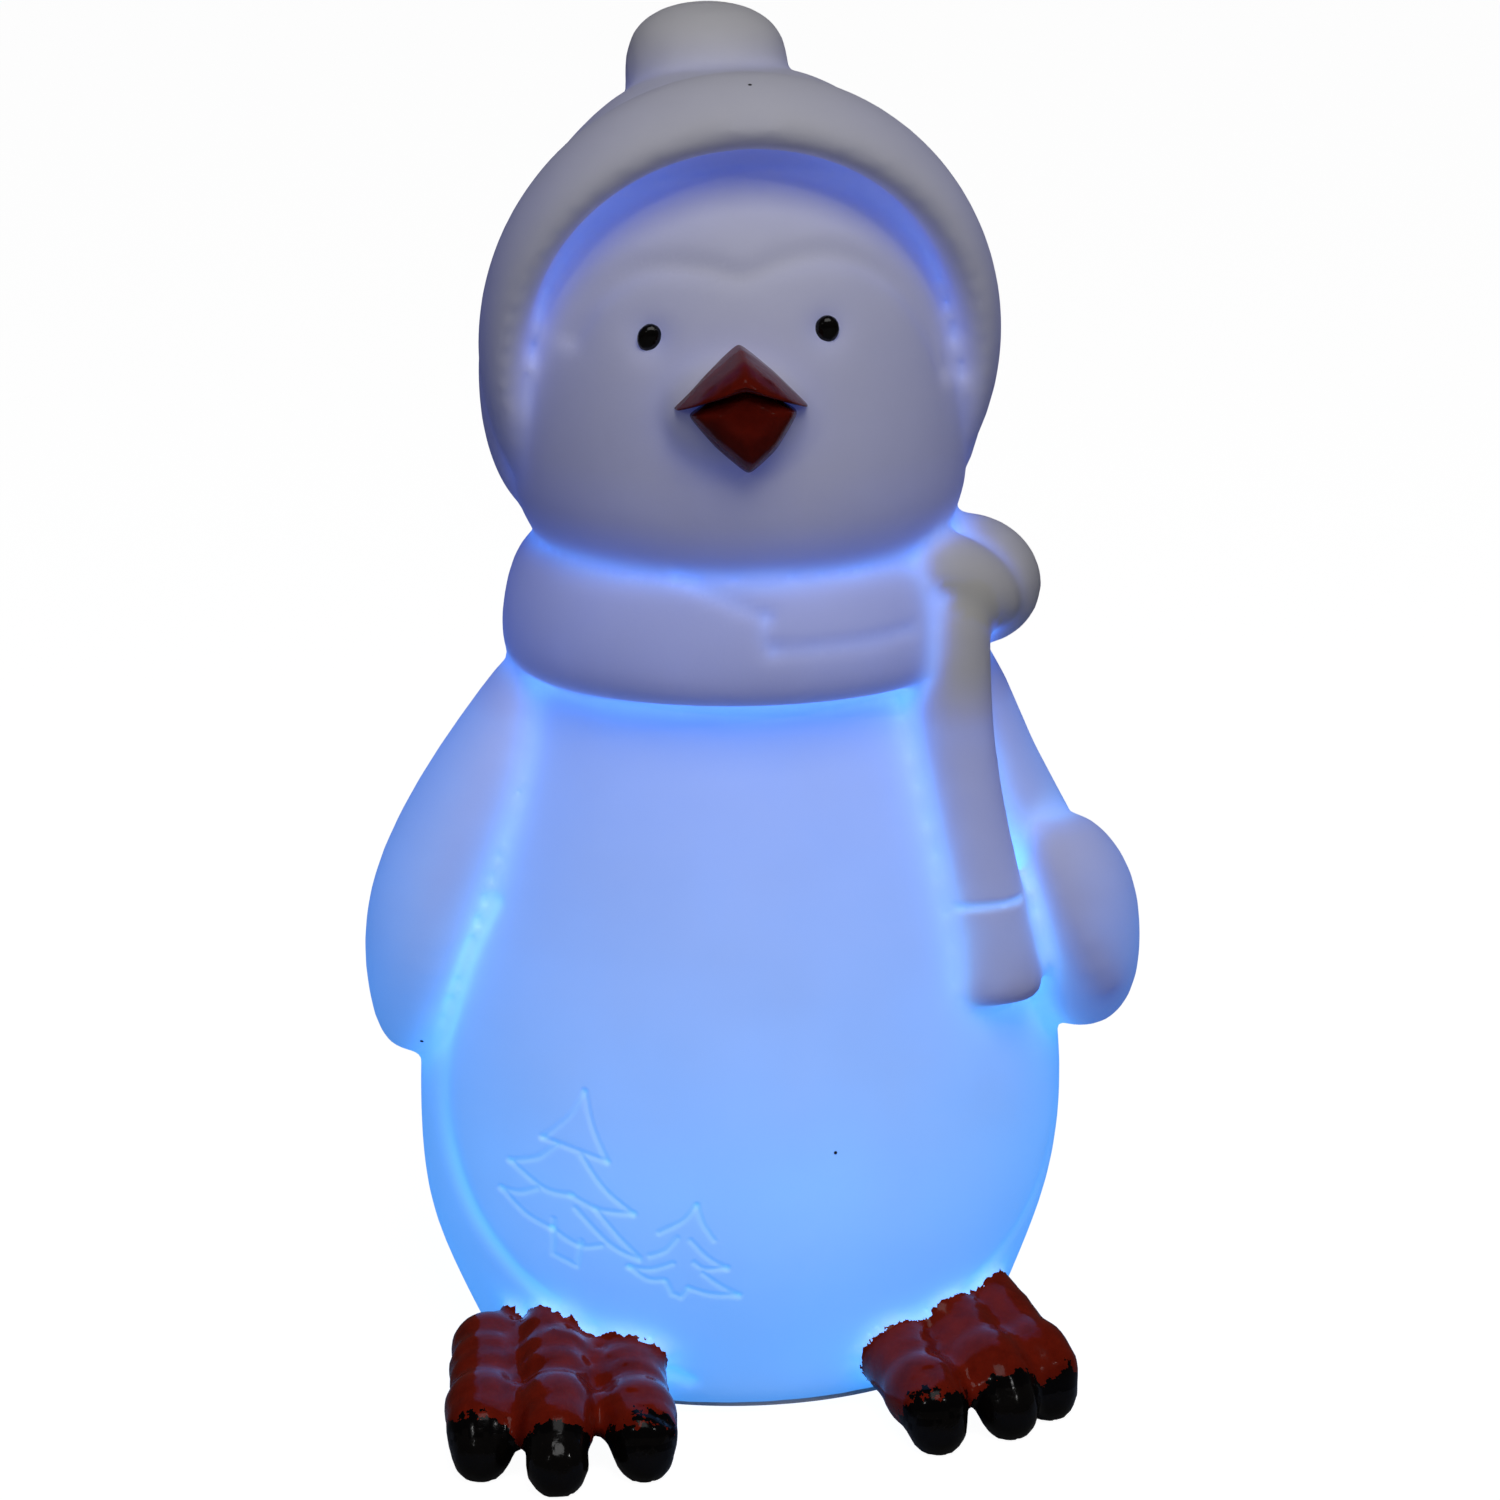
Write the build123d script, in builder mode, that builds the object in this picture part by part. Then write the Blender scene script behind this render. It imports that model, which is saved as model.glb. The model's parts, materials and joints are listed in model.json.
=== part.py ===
from build123d import *
import math
import os

# Light-up porcelain penguin with a bobble hat and a scarf, standing on a plug-in LED module.
# Millimetres. The origin is on the table, on the axis of the light module. +Z is up, the
# face looks along -Y, and "left" and "right" are the figure's own.

os.makedirs("parts", exist_ok=True)

# ------------------------------------------------------------------ driving dimensions
wall = 4.0                  # slip-cast porcelain wall
depth_ratio = 0.87          # the figure is flatter from front to back than it is wide

belly_half_width = 38.3
belly_height = 30.0         # level of the widest point
neck_half_width = 22.5
neck_height = 96.0
floor_thickness = 4.0

head_half_width = 25.5
head_depth = 1.0            # the head is round from above
head_forward = 4.0          # the head leans out over the belly
head_rise = 23.0            # from the neck to the head's widest level
crown_rise = 27.0           # from the head's widest level to its crown

hat_thickness = 3.5         # knitted hood round the head, at the sides
hat_crown = 6.5             # thickness of the hood over the crown
hat_depth = 0.97            # of its width
hat_hem = 4.0               # the hood stops this far above the neck joint
face_half_width = 25.2
face_half_height = 22.0
face_edge = 12.0            # the hood's front edge stands this far in front of its middle
pompom_radius = 9.5

scarf_height = 13.5
scarf_thickness = 8.0
tail_length = 46.0
tail_width = 10.5
tail_thickness = 4.5

wing_length = 50.0
wing_breadth = 30.0
wing_thickness = 16.0
hand_length = 29.0
hand_breadth = 19.0

toe_reach = 27.0            # from the heel of a foot to its toe tips
toe_radius = 4.6
sole_cut = 0.4              # the soles are ground flat this far up the round toes
instep_height = 11.0
claw_length = 2.6
right_heading = -10.0       # degrees from straight ahead, outwards for the left foot
left_heading = 15.0

beak_half_width = 7.2
beak_reach = 10.0
beak_seat = 2.5             # the beak's root stands this deep in the face
eye_radius = 1.4

cell_radius = 10.0          # CR2032 coin cell
cell_height = 3.2
cup_wall = 1.4
bay_wall = 1.0
cup_height = 10.6
flange_margin = 3.0         # how far the module's flange stands out past its cup
flange_thickness = 1.5
flange_lift = 2.0           # the flange hides this far above the table
seal_thickness = 1.1
seal_height = 2.8
board_thickness = 1.2
deck_thickness = 1.2
screw_radius = 1.0
boss_radius = 2.4
led_radius = 2.5
led_height = 8.6
cap_thickness = 1.2
cap_rim = 1.6
lug_reach = 1.3
lug_width = 4.5
switch_length = 8.6
switch_width = 3.6
switch_height = 3.6
knob_travel = 2.2
knob_size = 1.8

seal_lip = 0.8              # the ridge on the cup that holds the seal up
screw_depth = 6.0
component_room = 2.9        # between the cell and the board

loop_half_axes = (8.5, 9.0, 8.0)
arm_breadth = 24.0
arm_length = 34.0
hand_thickness = 15.0

slide_gap = 0.1             # clearance of everything that slides, turns or plugs in
seat_gap = 0.1
rim_width = 2.5             # least width of the figure's foot ring

# ------------------------------------------------------------------ worked-out levels
cap_radius = cell_radius + cap_rim + 4 * slide_gap
cap_bore = cap_radius + 2 * slide_gap
lug_radius = cap_radius + lug_reach
bay_radius = lug_radius + 0.9
switch_far_side = bay_radius + bay_wall + seat_gap + switch_width
switch_reach = switch_far_side - switch_width / 2
cup_inner = math.hypot(switch_length / 2, switch_far_side) + 2 * slide_gap
cup_radius = cup_inner + cup_wall

flange_top = flange_lift + flange_thickness
recess_depth = flange_top + seat_gap
floor_top = recess_depth + floor_thickness
flange_radius = cup_radius + flange_margin
recess_radius = flange_radius + 0.5
bore_radius = cup_radius + seal_thickness + slide_gap
foot_half_width = (recess_radius + rim_width) / depth_ratio

toe_spread = 2 * math.degrees(math.asin((toe_radius + slide_gap) / (toe_reach - toe_radius)))

head_level = neck_height + head_rise
crown_level = head_level + crown_rise
hat_half_width = head_half_width + hat_thickness + 0.5
hat_top = crown_level + hat_crown
scarf_level = neck_height - scarf_height / 2 + 2.0
scarf_forward = 2.5
scarf_radius = neck_half_width + scarf_thickness - 2.0


def body_width(level, inset=0.0):
    """Half width of the body: full at the belly, drawn in to the foot ring and the neck."""
    if level < belly_height:
        fall = ((belly_height - level) / belly_height) ** 2.2
        return belly_half_width - (belly_half_width - foot_half_width) * fall - inset
    rise = ((level - belly_height) / (neck_height - belly_height)) ** 1.2
    swell = (1 + math.cos(math.pi * rise)) / 2
    return neck_half_width + (belly_half_width - neck_half_width) * swell - inset


def head_width(level, inset=0.0):
    """Half width of the head: an egg standing on the neck, round over the crown."""
    if level < head_level:
        fall = ((head_level - level) / head_rise) ** 2.5
        return head_half_width - (head_half_width - neck_half_width) * fall - inset
    rise = (level - head_level) / (crown_rise - inset)
    return (head_half_width - inset) * math.sqrt(max(0.0, 1 - rise**2))


def hat_width(level):
    """Half width of the hood: a tall dome above the ears and a shorter curve below them."""
    reach = hat_top - head_level if level > head_level else head_rise + 8.0
    return hat_half_width * math.sqrt(1 - ((level - head_level) / reach) ** 2)


def spread(low, high, count):
    """Levels from low to high, closer together towards the top, where a dome turns faster."""
    return [low + (high - low) * math.sin(math.pi / 2 * n / (count - 1)) for n in range(count)]


def egg(levels, width_at, depth, forward=0.0):
    """A smooth solid through level ellipses."""
    with BuildPart() as solid:
        for level in levels:
            with BuildSketch(Plane((0, -forward, level))):
                Ellipse(width_at(level), width_at(level) * depth)
        loft()
    return solid.part


def ellipsoid(centre, semi_axes, turn=(0, 0, 0)):
    """A squashed ball, turned and then put in its place. Its seam faces away from the figure."""
    centre = Vector(centre)
    with BuildPart() as solid:
        Sphere(1, rotation=(0, 0, 180 if centre.X < 0 else 0))
        scale(by=semi_axes)
    return solid.part.moved(Location(centre, turn))


def write(piece, name):
    """Label a finished piece and store it under its own name."""
    piece.part.label = name
    export_step(piece.part, f"parts/{name}.step")


# ------------------------------------------------------------------ porcelain casting
torso_height = neck_height - belly_height
body_levels = [belly_height * share for share in (0.0, 0.2, 0.5)]
body_levels += [belly_height + torso_height * share for share in (0.0, 0.25, 0.5, 0.7, 0.87, 1.0)]
cavity_levels = [floor_top] + [level for level in body_levels if level > floor_top + 5.0]
body_form = egg(body_levels, body_width, depth_ratio)
cavity_form = egg(cavity_levels, lambda level: body_width(level, wall), depth_ratio)

with BuildPart() as body_shell:
    add(body_form)
    add(cavity_form, mode=Mode.SUBTRACT)
    with BuildSketch(Plane.XY):
        Circle(recess_radius)
    extrude(amount=recess_depth, mode=Mode.SUBTRACT)
    with BuildSketch(Plane.XY):
        Circle(bore_radius)
    extrude(amount=floor_top, mode=Mode.SUBTRACT)
write(body_shell, "body_shell")

head_levels = spread(neck_height, crown_level - 0.4, 9)
hollow_levels = spread(neck_height, crown_level - wall - 0.4, 9)
head_form = egg(head_levels, head_width, head_depth, head_forward)
hollow_form = egg(hollow_levels, lambda level: head_width(level, wall), head_depth, head_forward)

with BuildPart() as head_shell:
    add(head_form)
    add(hollow_form, mode=Mode.SUBTRACT)
write(head_shell, "head_shell")

hat_levels = spread(neck_height + hat_hem, hat_top - 0.4, 9)
hat_form = egg(hat_levels, hat_width, hat_depth)

with BuildPart() as hat:
    add(hat_form)
    with BuildSketch(Plane.XZ.offset(face_edge)):
        with Locations((0, head_level + 1.0)):
            Ellipse(face_half_width, face_half_height)
    extrude(amount=hat_half_width, mode=Mode.SUBTRACT)
    add(head_form, mode=Mode.SUBTRACT)
write(hat, "hat")

pompom_centre = (-2.1, 8.0, hat_top - 2.5)
with BuildPart() as pompom:
    with Locations(pompom_centre):
        Sphere(pompom_radius)
    add(hat_form, mode=Mode.SUBTRACT)
write(pompom, "pompom")

# ------------------------------------------------------------------ scarf
scarf_axis = Axis((0, -scarf_forward, 0), (0, 0, 1))
with BuildPart() as scarf_wrap:
    with BuildSketch(Plane((0, -scarf_forward, scarf_level), x_dir=(1, 0, 0), z_dir=(0, -1, 0))):
        with Locations((scarf_radius - scarf_thickness, 0)):
            Ellipse(scarf_thickness, scarf_height / 2)
    revolve(axis=scarf_axis)
    add(body_form, mode=Mode.SUBTRACT)
    add(head_form, mode=Mode.SUBTRACT)
write(scarf_wrap, "scarf_wrap")

loop_centre = (scarf_radius - 1.5, -scarf_forward - 6.5, scarf_level + 2.5)
loop_form = ellipsoid(loop_centre, loop_half_axes)
with BuildPart() as scarf_loop:
    add(loop_form)
    for neighbour in (body_form, head_form, hat_form, scarf_wrap.part):
        add(neighbour, mode=Mode.SUBTRACT)
write(scarf_loop, "scarf_loop")

# ------------------------------------------------------------------ wings
wing_level = neck_height - scarf_height / 2 - 0.6 * wing_length
arm_level = neck_height - scarf_height / 2 - 0.65 * hand_length
hand_level = arm_level - 0.55 * hand_length
right_wing_centre = (-body_width(wing_level) - 3.0, -3.0, wing_level)
left_arm_centre = (body_width(arm_level) + 0.5, -5.0, arm_level)
left_hand_centre = (body_width(hand_level) + 3.5, -8.0, hand_level)
wing_form = ellipsoid(right_wing_centre, (wing_thickness / 2, wing_breadth / 2, wing_length / 2), (0, 14, 0))
arm_form = ellipsoid(left_arm_centre, (wing_thickness / 2, arm_breadth / 2, arm_length / 2), (0, -18, 0))
hand_form = ellipsoid(left_hand_centre, (hand_thickness / 2, hand_breadth / 2, hand_length / 2), (0, -6, 0))

with BuildPart() as right_wing:
    add(wing_form)
    for neighbour in (body_form, scarf_wrap.part):
        add(neighbour, mode=Mode.SUBTRACT)
write(right_wing, "right_wing")

with BuildPart() as left_wing:
    add(arm_form)
    add(hand_form)
    for neighbour in (body_form, scarf_wrap.part, scarf_loop.part):
        add(neighbour, mode=Mode.SUBTRACT)
write(left_wing, "left_wing")

tail_top = loop_centre[2] + 3.0
tail_front = loop_centre[1] - 15.0
with BuildPart() as scarf_tail:
    with BuildSketch(Plane((0, tail_front, tail_top), x_dir=(1, 0, 0), z_dir=(0, -1, 0))):
        with BuildLine():
            Polyline(
                (loop_centre[0] - 8.0, 0),
                (loop_centre[0] + 0.5, 0),
                (loop_centre[0] - 6.5 + tail_width, -tail_length),
                (loop_centre[0] - 6.5, -tail_length),
                close=True,
            )
        make_face()
    extrude(amount=-2 * tail_thickness)
    fillet(scarf_tail.faces().sort_by(Axis.Y)[0].edges(), radius=1.5)
    for neighbour in (body_form, head_form, hat_form, scarf_wrap.part, scarf_loop.part, left_wing.part):
        add(neighbour, mode=Mode.SUBTRACT)
write(scarf_tail, "scarf_tail")


# ------------------------------------------------------------------ feet and claws
def toe_directions(heading):
    """The way each of a foot's three toes points; heading is measured from straight ahead."""
    return [Vector(0, -1, 0).rotate(Axis.Z, heading + step * toe_spread) for step in (-1, 0, 1)]


def toe(heel, direction, claw):
    """One round finger with a ball end: all but its tip, or only the tip, which is the claw."""
    root = Vector(*heel, toe_radius - sole_cut)
    ball = toe_reach - toe_radius
    seat = toe_reach - claw_length
    seat_radius = math.sqrt(toe_radius**2 - (seat - ball) ** 2)
    with BuildPart() as solid:
        with BuildSketch(Plane(root, x_dir=direction, z_dir=direction.cross(Vector(0, 0, 1)))):
            with BuildLine():
                if claw:
                    Polyline((toe_reach, 0), (seat, 0), (seat, seat_radius))
                    RadiusArc((seat, seat_radius), (toe_reach, 0), toe_radius)
                else:
                    Polyline((seat, seat_radius), (seat, 0), (0, 0), (0, toe_radius), (ball, toe_radius))
                    RadiusArc((ball, toe_radius), (seat, seat_radius), toe_radius)
            make_face()
        revolve(axis=Axis(root, direction))
        split(bisect_by=Plane.XY, keep=Keep.TOP)
    return solid.part


def foot(heel, heading):
    """Three toes and the instep they grow from, flat underneath."""
    pieces = [toe(heel, direction, claw=False) for direction in toe_directions(heading)]
    instep = Vector(*heel, 0.3 * instep_height) + toe_directions(heading)[1] * 6.0
    pieces.append(ellipsoid(instep, (2.2 * toe_radius, 0.42 * toe_reach, 0.7 * instep_height)))
    with BuildPart() as solid:
        for piece in pieces:
            add(piece)
        split(bisect_by=Plane.XY, keep=Keep.TOP)
        add(body_form, mode=Mode.SUBTRACT)
    return solid.part


def claws(heel, heading):
    """The three toe tips, painted as claws."""
    with BuildPart() as solid:
        for direction in toe_directions(heading):
            add(toe(heel, direction, claw=True))
    return solid.part


foot_setback = depth_ratio * foot_half_width - 2.5
right_heel = (-21.0, -foot_setback)
left_heel = (19.0, -foot_setback)
with BuildPart() as right_foot:
    add(foot(right_heel, right_heading))
write(right_foot, "right_foot")

with BuildPart() as left_foot:
    add(foot(left_heel, left_heading))
write(left_foot, "left_foot")

with BuildPart() as right_claws:
    add(claws(right_heel, right_heading))
write(right_claws, "right_claws")

with BuildPart() as left_claws:
    add(claws(left_heel, left_heading))
write(left_claws, "left_claws")

# ------------------------------------------------------------------ face
face_front = -head_forward - head_half_width
beak_middle = -2.3
beak_level = head_level - 0.5


def beak_plane(reach, rise):
    """An upright plane that far in front of the face and that far above the mouth."""
    return Plane((beak_middle, face_front - reach, beak_level + rise), x_dir=(1, 0, 0), z_dir=(0, -1, 0))


def beak_half(top_rise, bottom_drop, tip_rise, reach):
    """A four-sided horn that starts inside the face and comes to a blunt tip."""
    with BuildPart() as solid:
        with BuildSketch(beak_plane(-beak_seat, 0.0)):
            with BuildLine():
                Polyline(
                    (-beak_half_width, 0),
                    (0, -bottom_drop),
                    (beak_half_width, 0),
                    (0, top_rise),
                    close=True,
                )
            make_face()
        with BuildSketch(beak_plane(reach, tip_rise)):
            Rectangle(1.0, 1.0, rotation=45)
        loft()
    return solid.part


upper_form = beak_half(6.5, -2.2, 3.5, 0.85 * beak_reach)
lower_form = beak_half(2.0, 7.0, -1.5, 0.5 * beak_reach)

with BuildPart() as upper_beak:
    add(upper_form)
    add(head_form, mode=Mode.SUBTRACT)
write(upper_beak, "upper_beak")

with BuildPart() as lower_beak:
    add(lower_form)
    add(head_form, mode=Mode.SUBTRACT)
    add(upper_form, mode=Mode.SUBTRACT)
write(lower_beak, "lower_beak")


def eye(side, level):
    """A low oval bead on the face."""
    rise = (level - head_level) / crown_rise
    swell = math.sqrt(1 - rise**2 - (side / head_half_width) ** 2)
    with BuildPart() as solid:
        with Locations((side, -head_forward - head_half_width * swell, level)):
            Sphere(eye_radius)
        add(head_form, mode=Mode.SUBTRACT)
    return solid.part


with BuildPart() as right_eye:
    add(eye(-11.6, head_level + 7.1))
write(right_eye, "right_eye")

with BuildPart() as left_eye:
    add(eye(7.7, head_level + 7.8))
write(left_eye, "left_eye")

# ------------------------------------------------------------------ light module: moulded housing
lug_bottom = flange_top + slide_gap
seal_bottom = flange_top + seat_gap + seal_lip
cell_bottom = flange_lift + cap_thickness + slide_gap
cap_top = cell_bottom + 0.5 * cell_height
lug_height = cap_top - lug_bottom
cell_top = cell_bottom + cell_height
deck_top = flange_top + cup_height
deck_bottom = deck_top - deck_thickness
board_bottom = cell_top + component_room
board_top = board_bottom + board_thickness
board_radius = cup_inner - 0.4
boss_reach = cup_inner - 0.8 * boss_radius
switch_bottom = board_bottom - switch_height
knob_reach = knob_size / 2 + knob_travel / 2
boss_spots = [(-boss_reach, 0), (boss_reach, 0)]

with BuildPart() as module_housing:
    with BuildSketch(Plane.XY.offset(flange_lift)):
        Circle(flange_radius)
    extrude(amount=flange_thickness)
    chamfer(module_housing.faces().sort_by(Axis.Z)[0].edges(), length=0.5)
    with BuildSketch(Plane.XY.offset(flange_top)):
        Circle(cup_radius)
        Circle(cup_inner, mode=Mode.SUBTRACT)
    extrude(amount=cup_height)
    with BuildSketch(Plane.XY.offset(seal_bottom + seal_height)):
        Circle(cup_radius + 0.6)
        Circle(cup_inner, mode=Mode.SUBTRACT)
    extrude(amount=seal_lip)
    with BuildSketch(Plane.XY.offset(flange_top)):
        Circle(bay_radius + bay_wall)
        Circle(bay_radius, mode=Mode.SUBTRACT)
    extrude(amount=board_bottom - flange_top)
    with BuildSketch(Plane.XY.offset(flange_top)):
        with Locations(*boss_spots):
            Circle(boss_radius)
    extrude(amount=deck_bottom - flange_top)
    with BuildSketch(Plane.XY.offset(flange_lift)):
        Circle(cap_bore)
        with PolarLocations(cap_bore, 3, start_angle=30):
            Rectangle(2 * (lug_radius + 2 * slide_gap - cap_bore), lug_width + 4 * slide_gap)
    extrude(amount=flange_thickness, mode=Mode.SUBTRACT)
    with BuildSketch(Plane.XY.offset(flange_lift)):
        with Locations((0, switch_reach)):
            Rectangle(2 * knob_reach + 2 * slide_gap, knob_size + 2 * slide_gap)
    extrude(amount=flange_thickness, mode=Mode.SUBTRACT)
    with BuildSketch(Plane.XY.offset(deck_bottom)):
        with Locations(*boss_spots):
            Circle(screw_radius)
    extrude(amount=-screw_depth, mode=Mode.SUBTRACT)
write(module_housing, "module_housing")

with BuildPart() as silicone_ring:
    with BuildSketch(Plane.XY.offset(seal_bottom)):
        Circle(cup_radius + seal_thickness)
        Circle(cup_radius, mode=Mode.SUBTRACT)
    extrude(amount=seal_height)
write(silicone_ring, "silicone_ring")

# ------------------------------------------------------------------ battery cap
with BuildPart() as battery_cap:
    with BuildSketch(Plane.XY.offset(flange_lift)):
        Circle(cap_radius)
    extrude(amount=cap_thickness)
    with BuildSketch(Plane.XY.offset(flange_lift + cap_thickness)):
        Circle(cap_radius)
        Circle(cap_radius - cap_rim, mode=Mode.SUBTRACT)
    extrude(amount=cap_top - flange_lift - cap_thickness)
    with BuildSketch(Plane.XY.offset(lug_bottom)):
        with PolarLocations(cap_radius + lug_reach / 2 - 0.5, 3, start_angle=90):
            Rectangle(lug_reach + 1.0, lug_width)
    extrude(amount=lug_height)
    with BuildSketch(Plane.XY.offset(flange_lift)):
        SlotOverall(1.4 * cap_radius, 1.8)
    extrude(amount=cap_thickness - 0.5, mode=Mode.SUBTRACT)
write(battery_cap, "battery_cap")

# ------------------------------------------------------------------ electrics
with BuildPart() as coin_cell:
    with BuildSketch(Plane.XY.offset(cell_bottom)):
        Circle(cell_radius)
    extrude(amount=cell_height - 0.4)
    with BuildSketch(Plane.XY.offset(cell_top - 0.4)):
        Circle(cell_radius - 1.2)
    extrude(amount=0.4)
write(coin_cell, "coin_cell")

lead_pitch = 2.54
lead_radius = 0.25
lead_spots = [(-lead_pitch / 2, 0), (lead_pitch / 2, 0)]
with BuildPart() as circuit_board:
    with BuildSketch(Plane.XY.offset(board_bottom)):
        Circle(board_radius)
        with Locations(*boss_spots):
            Circle(boss_radius + 2 * slide_gap, mode=Mode.SUBTRACT)
        for side in (-1, 1):
            with Locations((side * (boss_reach + boss_radius), 0)):
                Rectangle(2 * boss_radius, 2 * boss_radius + 4 * slide_gap, mode=Mode.SUBTRACT)
        with Locations(*lead_spots):
            Circle(lead_radius, mode=Mode.SUBTRACT)
    extrude(amount=board_thickness)
write(circuit_board, "circuit_board")

leaf = 0.3
leaf_width = 4.0
with BuildPart() as positive_contact:
    with BuildSketch(Plane.XZ.offset(-leaf_width / 2)):
        with BuildLine():
            Polyline(
                (bay_radius - seat_gap, board_bottom),
                (bay_radius - seat_gap - leaf, board_bottom),
                (cell_radius, cap_top + 1.2),
                (bay_radius - 1.2 - leaf, cap_top + 0.4),
                (bay_radius - 1.2, cap_top + 0.4),
                (cell_radius + leaf, cap_top + 1.2),
                close=True,
            )
        make_face()
    extrude(amount=leaf_width)
write(positive_contact, "positive_contact")

leaf_root = -cell_radius + 1.5
leaf_touch = leaf_root / 2
with BuildPart() as negative_contact:
    with BuildSketch(Plane.YZ.offset(-leaf_width / 2)):
        with BuildLine():
            Polyline(
                (leaf_root - 2.0, board_bottom),
                (leaf_root, board_bottom),
                (leaf_touch, cell_top + leaf),
                (leaf_touch + 1.5, cell_top + 2 * leaf),
                (leaf_touch + 1.5, cell_top + leaf),
                (leaf_touch, cell_top),
                (leaf_root - 0.1, board_bottom - leaf),
                (leaf_root - 2.0, board_bottom - leaf),
                close=True,
            )
        make_face()
    extrude(amount=leaf_width)
write(negative_contact, "negative_contact")

with BuildPart() as switch_body:
    with BuildSketch(Plane.XY.offset(switch_bottom)):
        with Locations((0, switch_reach)):
            Rectangle(switch_length, switch_width)
    extrude(amount=switch_height)
    with BuildSketch(Plane.XY.offset(switch_bottom)):
        with Locations((0, switch_reach)):
            Rectangle(2 * knob_reach + 2 * slide_gap, knob_size + 2 * slide_gap)
    extrude(amount=1.0, mode=Mode.SUBTRACT)
write(switch_body, "switch_body")

with BuildPart() as switch_knob:
    with BuildSketch(Plane.XY.offset(switch_bottom + 0.9)):
        with Locations((knob_travel / 2, switch_reach)):
            Rectangle(knob_size, knob_size)
    extrude(amount=flange_lift / 2 - switch_bottom - 0.9)
    fillet(switch_knob.faces().sort_by(Axis.Z)[0].edges(), radius=0.3)
write(switch_knob, "switch_knob")

with BuildPart() as led_lens:
    with BuildSketch(Plane.XZ):
        with BuildLine():
            Polyline(
                (0, board_top + 0.2 + led_height - led_radius),
                (0, board_top + 0.2),
                (led_radius + 0.4, board_top + 0.2),
                (led_radius + 0.4, board_top + 1.2),
                (led_radius, board_top + 1.2),
                (led_radius, board_top + 0.2 + led_height - led_radius),
            )
            CenterArc((0, board_top + 0.2 + led_height - led_radius), led_radius, 0, 90)
            Line((0, board_top + 0.2 + led_height), (0, board_top + 0.2 + led_height - led_radius))
        make_face()
    revolve(axis=Axis.Z)
write(led_lens, "led_lens")

with BuildPart() as led_leads:
    with BuildSketch(Plane.XY.offset(board_bottom - 1.0)):
        with Locations(*lead_spots):
            Circle(lead_radius)
    extrude(amount=board_thickness + 1.2)
write(led_leads, "led_leads")

# ------------------------------------------------------------------ deck over the board
post_spots = [(0, -0.6 * cup_inner), (0, 0.6 * cup_inner)]
with BuildPart() as light_deck:
    with BuildSketch(Plane.XY.offset(deck_bottom)):
        Circle(cup_inner - 2 * slide_gap)
    extrude(amount=deck_thickness)
    with BuildSketch(Plane.XY.offset(board_top)):
        with Locations(*post_spots):
            Circle(1.5)
    extrude(amount=deck_bottom - board_top)
    with BuildSketch(Plane.XY.offset(deck_bottom)):
        Circle(led_radius + 3 * slide_gap)
        with Locations(*boss_spots):
            Circle(screw_radius)
    extrude(amount=deck_thickness, mode=Mode.SUBTRACT)
write(light_deck, "light_deck")

head_height = 1.0
with BuildPart() as deck_screws:
    with Locations(*[(x, y, deck_bottom - 5.0) for x, y in boss_spots]):
        Cylinder(screw_radius, 5.0 + deck_thickness, align=(Align.CENTER, Align.CENTER, Align.MIN))
    with Locations(*[(x, y, deck_top) for x, y in boss_spots]):
        Cylinder(1.9 * screw_radius, head_height, align=(Align.CENTER, Align.CENTER, Align.MIN))
    with Locations(*[(x, y, deck_top + head_height) for x, y in boss_spots]):
        Box(2.6 * screw_radius, 0.4, 1.0)
        Box(0.4, 2.6 * screw_radius, 1.0)
write(deck_screws, "deck_screws")
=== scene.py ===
# %% [markdown]
# # A light-up porcelain penguin
# The figure is slip-cast bisque porcelain: one thin shell poured in a plaster mould, fired without a glaze,
# with painted feet and beak. A light module fills a hole in its base and makes the shell glow blue from
# inside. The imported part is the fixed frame: this lesson builds the looks around it and moves nothing.

# %% Load the frame
import json
import math
import bpy
import numpy as np
from mathutils import Matrix, Vector
from mathutils.bvhtree import BVHTree

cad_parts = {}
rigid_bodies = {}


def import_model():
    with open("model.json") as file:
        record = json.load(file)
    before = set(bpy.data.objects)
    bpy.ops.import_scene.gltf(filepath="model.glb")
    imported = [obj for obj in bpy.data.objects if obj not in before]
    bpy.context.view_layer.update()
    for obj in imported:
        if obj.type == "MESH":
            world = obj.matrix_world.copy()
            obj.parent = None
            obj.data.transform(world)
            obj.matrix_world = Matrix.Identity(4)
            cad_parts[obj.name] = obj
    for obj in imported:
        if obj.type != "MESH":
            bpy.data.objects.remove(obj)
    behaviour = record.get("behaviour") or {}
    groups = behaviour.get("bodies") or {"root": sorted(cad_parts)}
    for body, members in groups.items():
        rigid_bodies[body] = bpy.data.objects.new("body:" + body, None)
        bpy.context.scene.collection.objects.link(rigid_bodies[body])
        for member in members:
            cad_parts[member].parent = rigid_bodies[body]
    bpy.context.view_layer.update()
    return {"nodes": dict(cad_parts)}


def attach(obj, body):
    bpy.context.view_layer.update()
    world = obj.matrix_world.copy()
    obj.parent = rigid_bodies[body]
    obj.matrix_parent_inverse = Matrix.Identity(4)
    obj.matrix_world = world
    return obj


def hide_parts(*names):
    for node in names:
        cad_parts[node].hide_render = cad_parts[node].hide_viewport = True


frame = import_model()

MM = 0.001

# %% [markdown]
# ## Camera
# The figure is seen from a little above and a little to its right, with a long lens, so its sides stay
# almost parallel. The camera's three axes are worked out from those angles and put in its matrix.

# %% Camera
turn, lift, tilt = math.radians(-6.0), math.radians(14.0), math.radians(0.6)
camera_distance = 560 * MM
looked_at = Vector((1.5, 0.0, 73.25)) * MM
lens_length = 114.5

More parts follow.
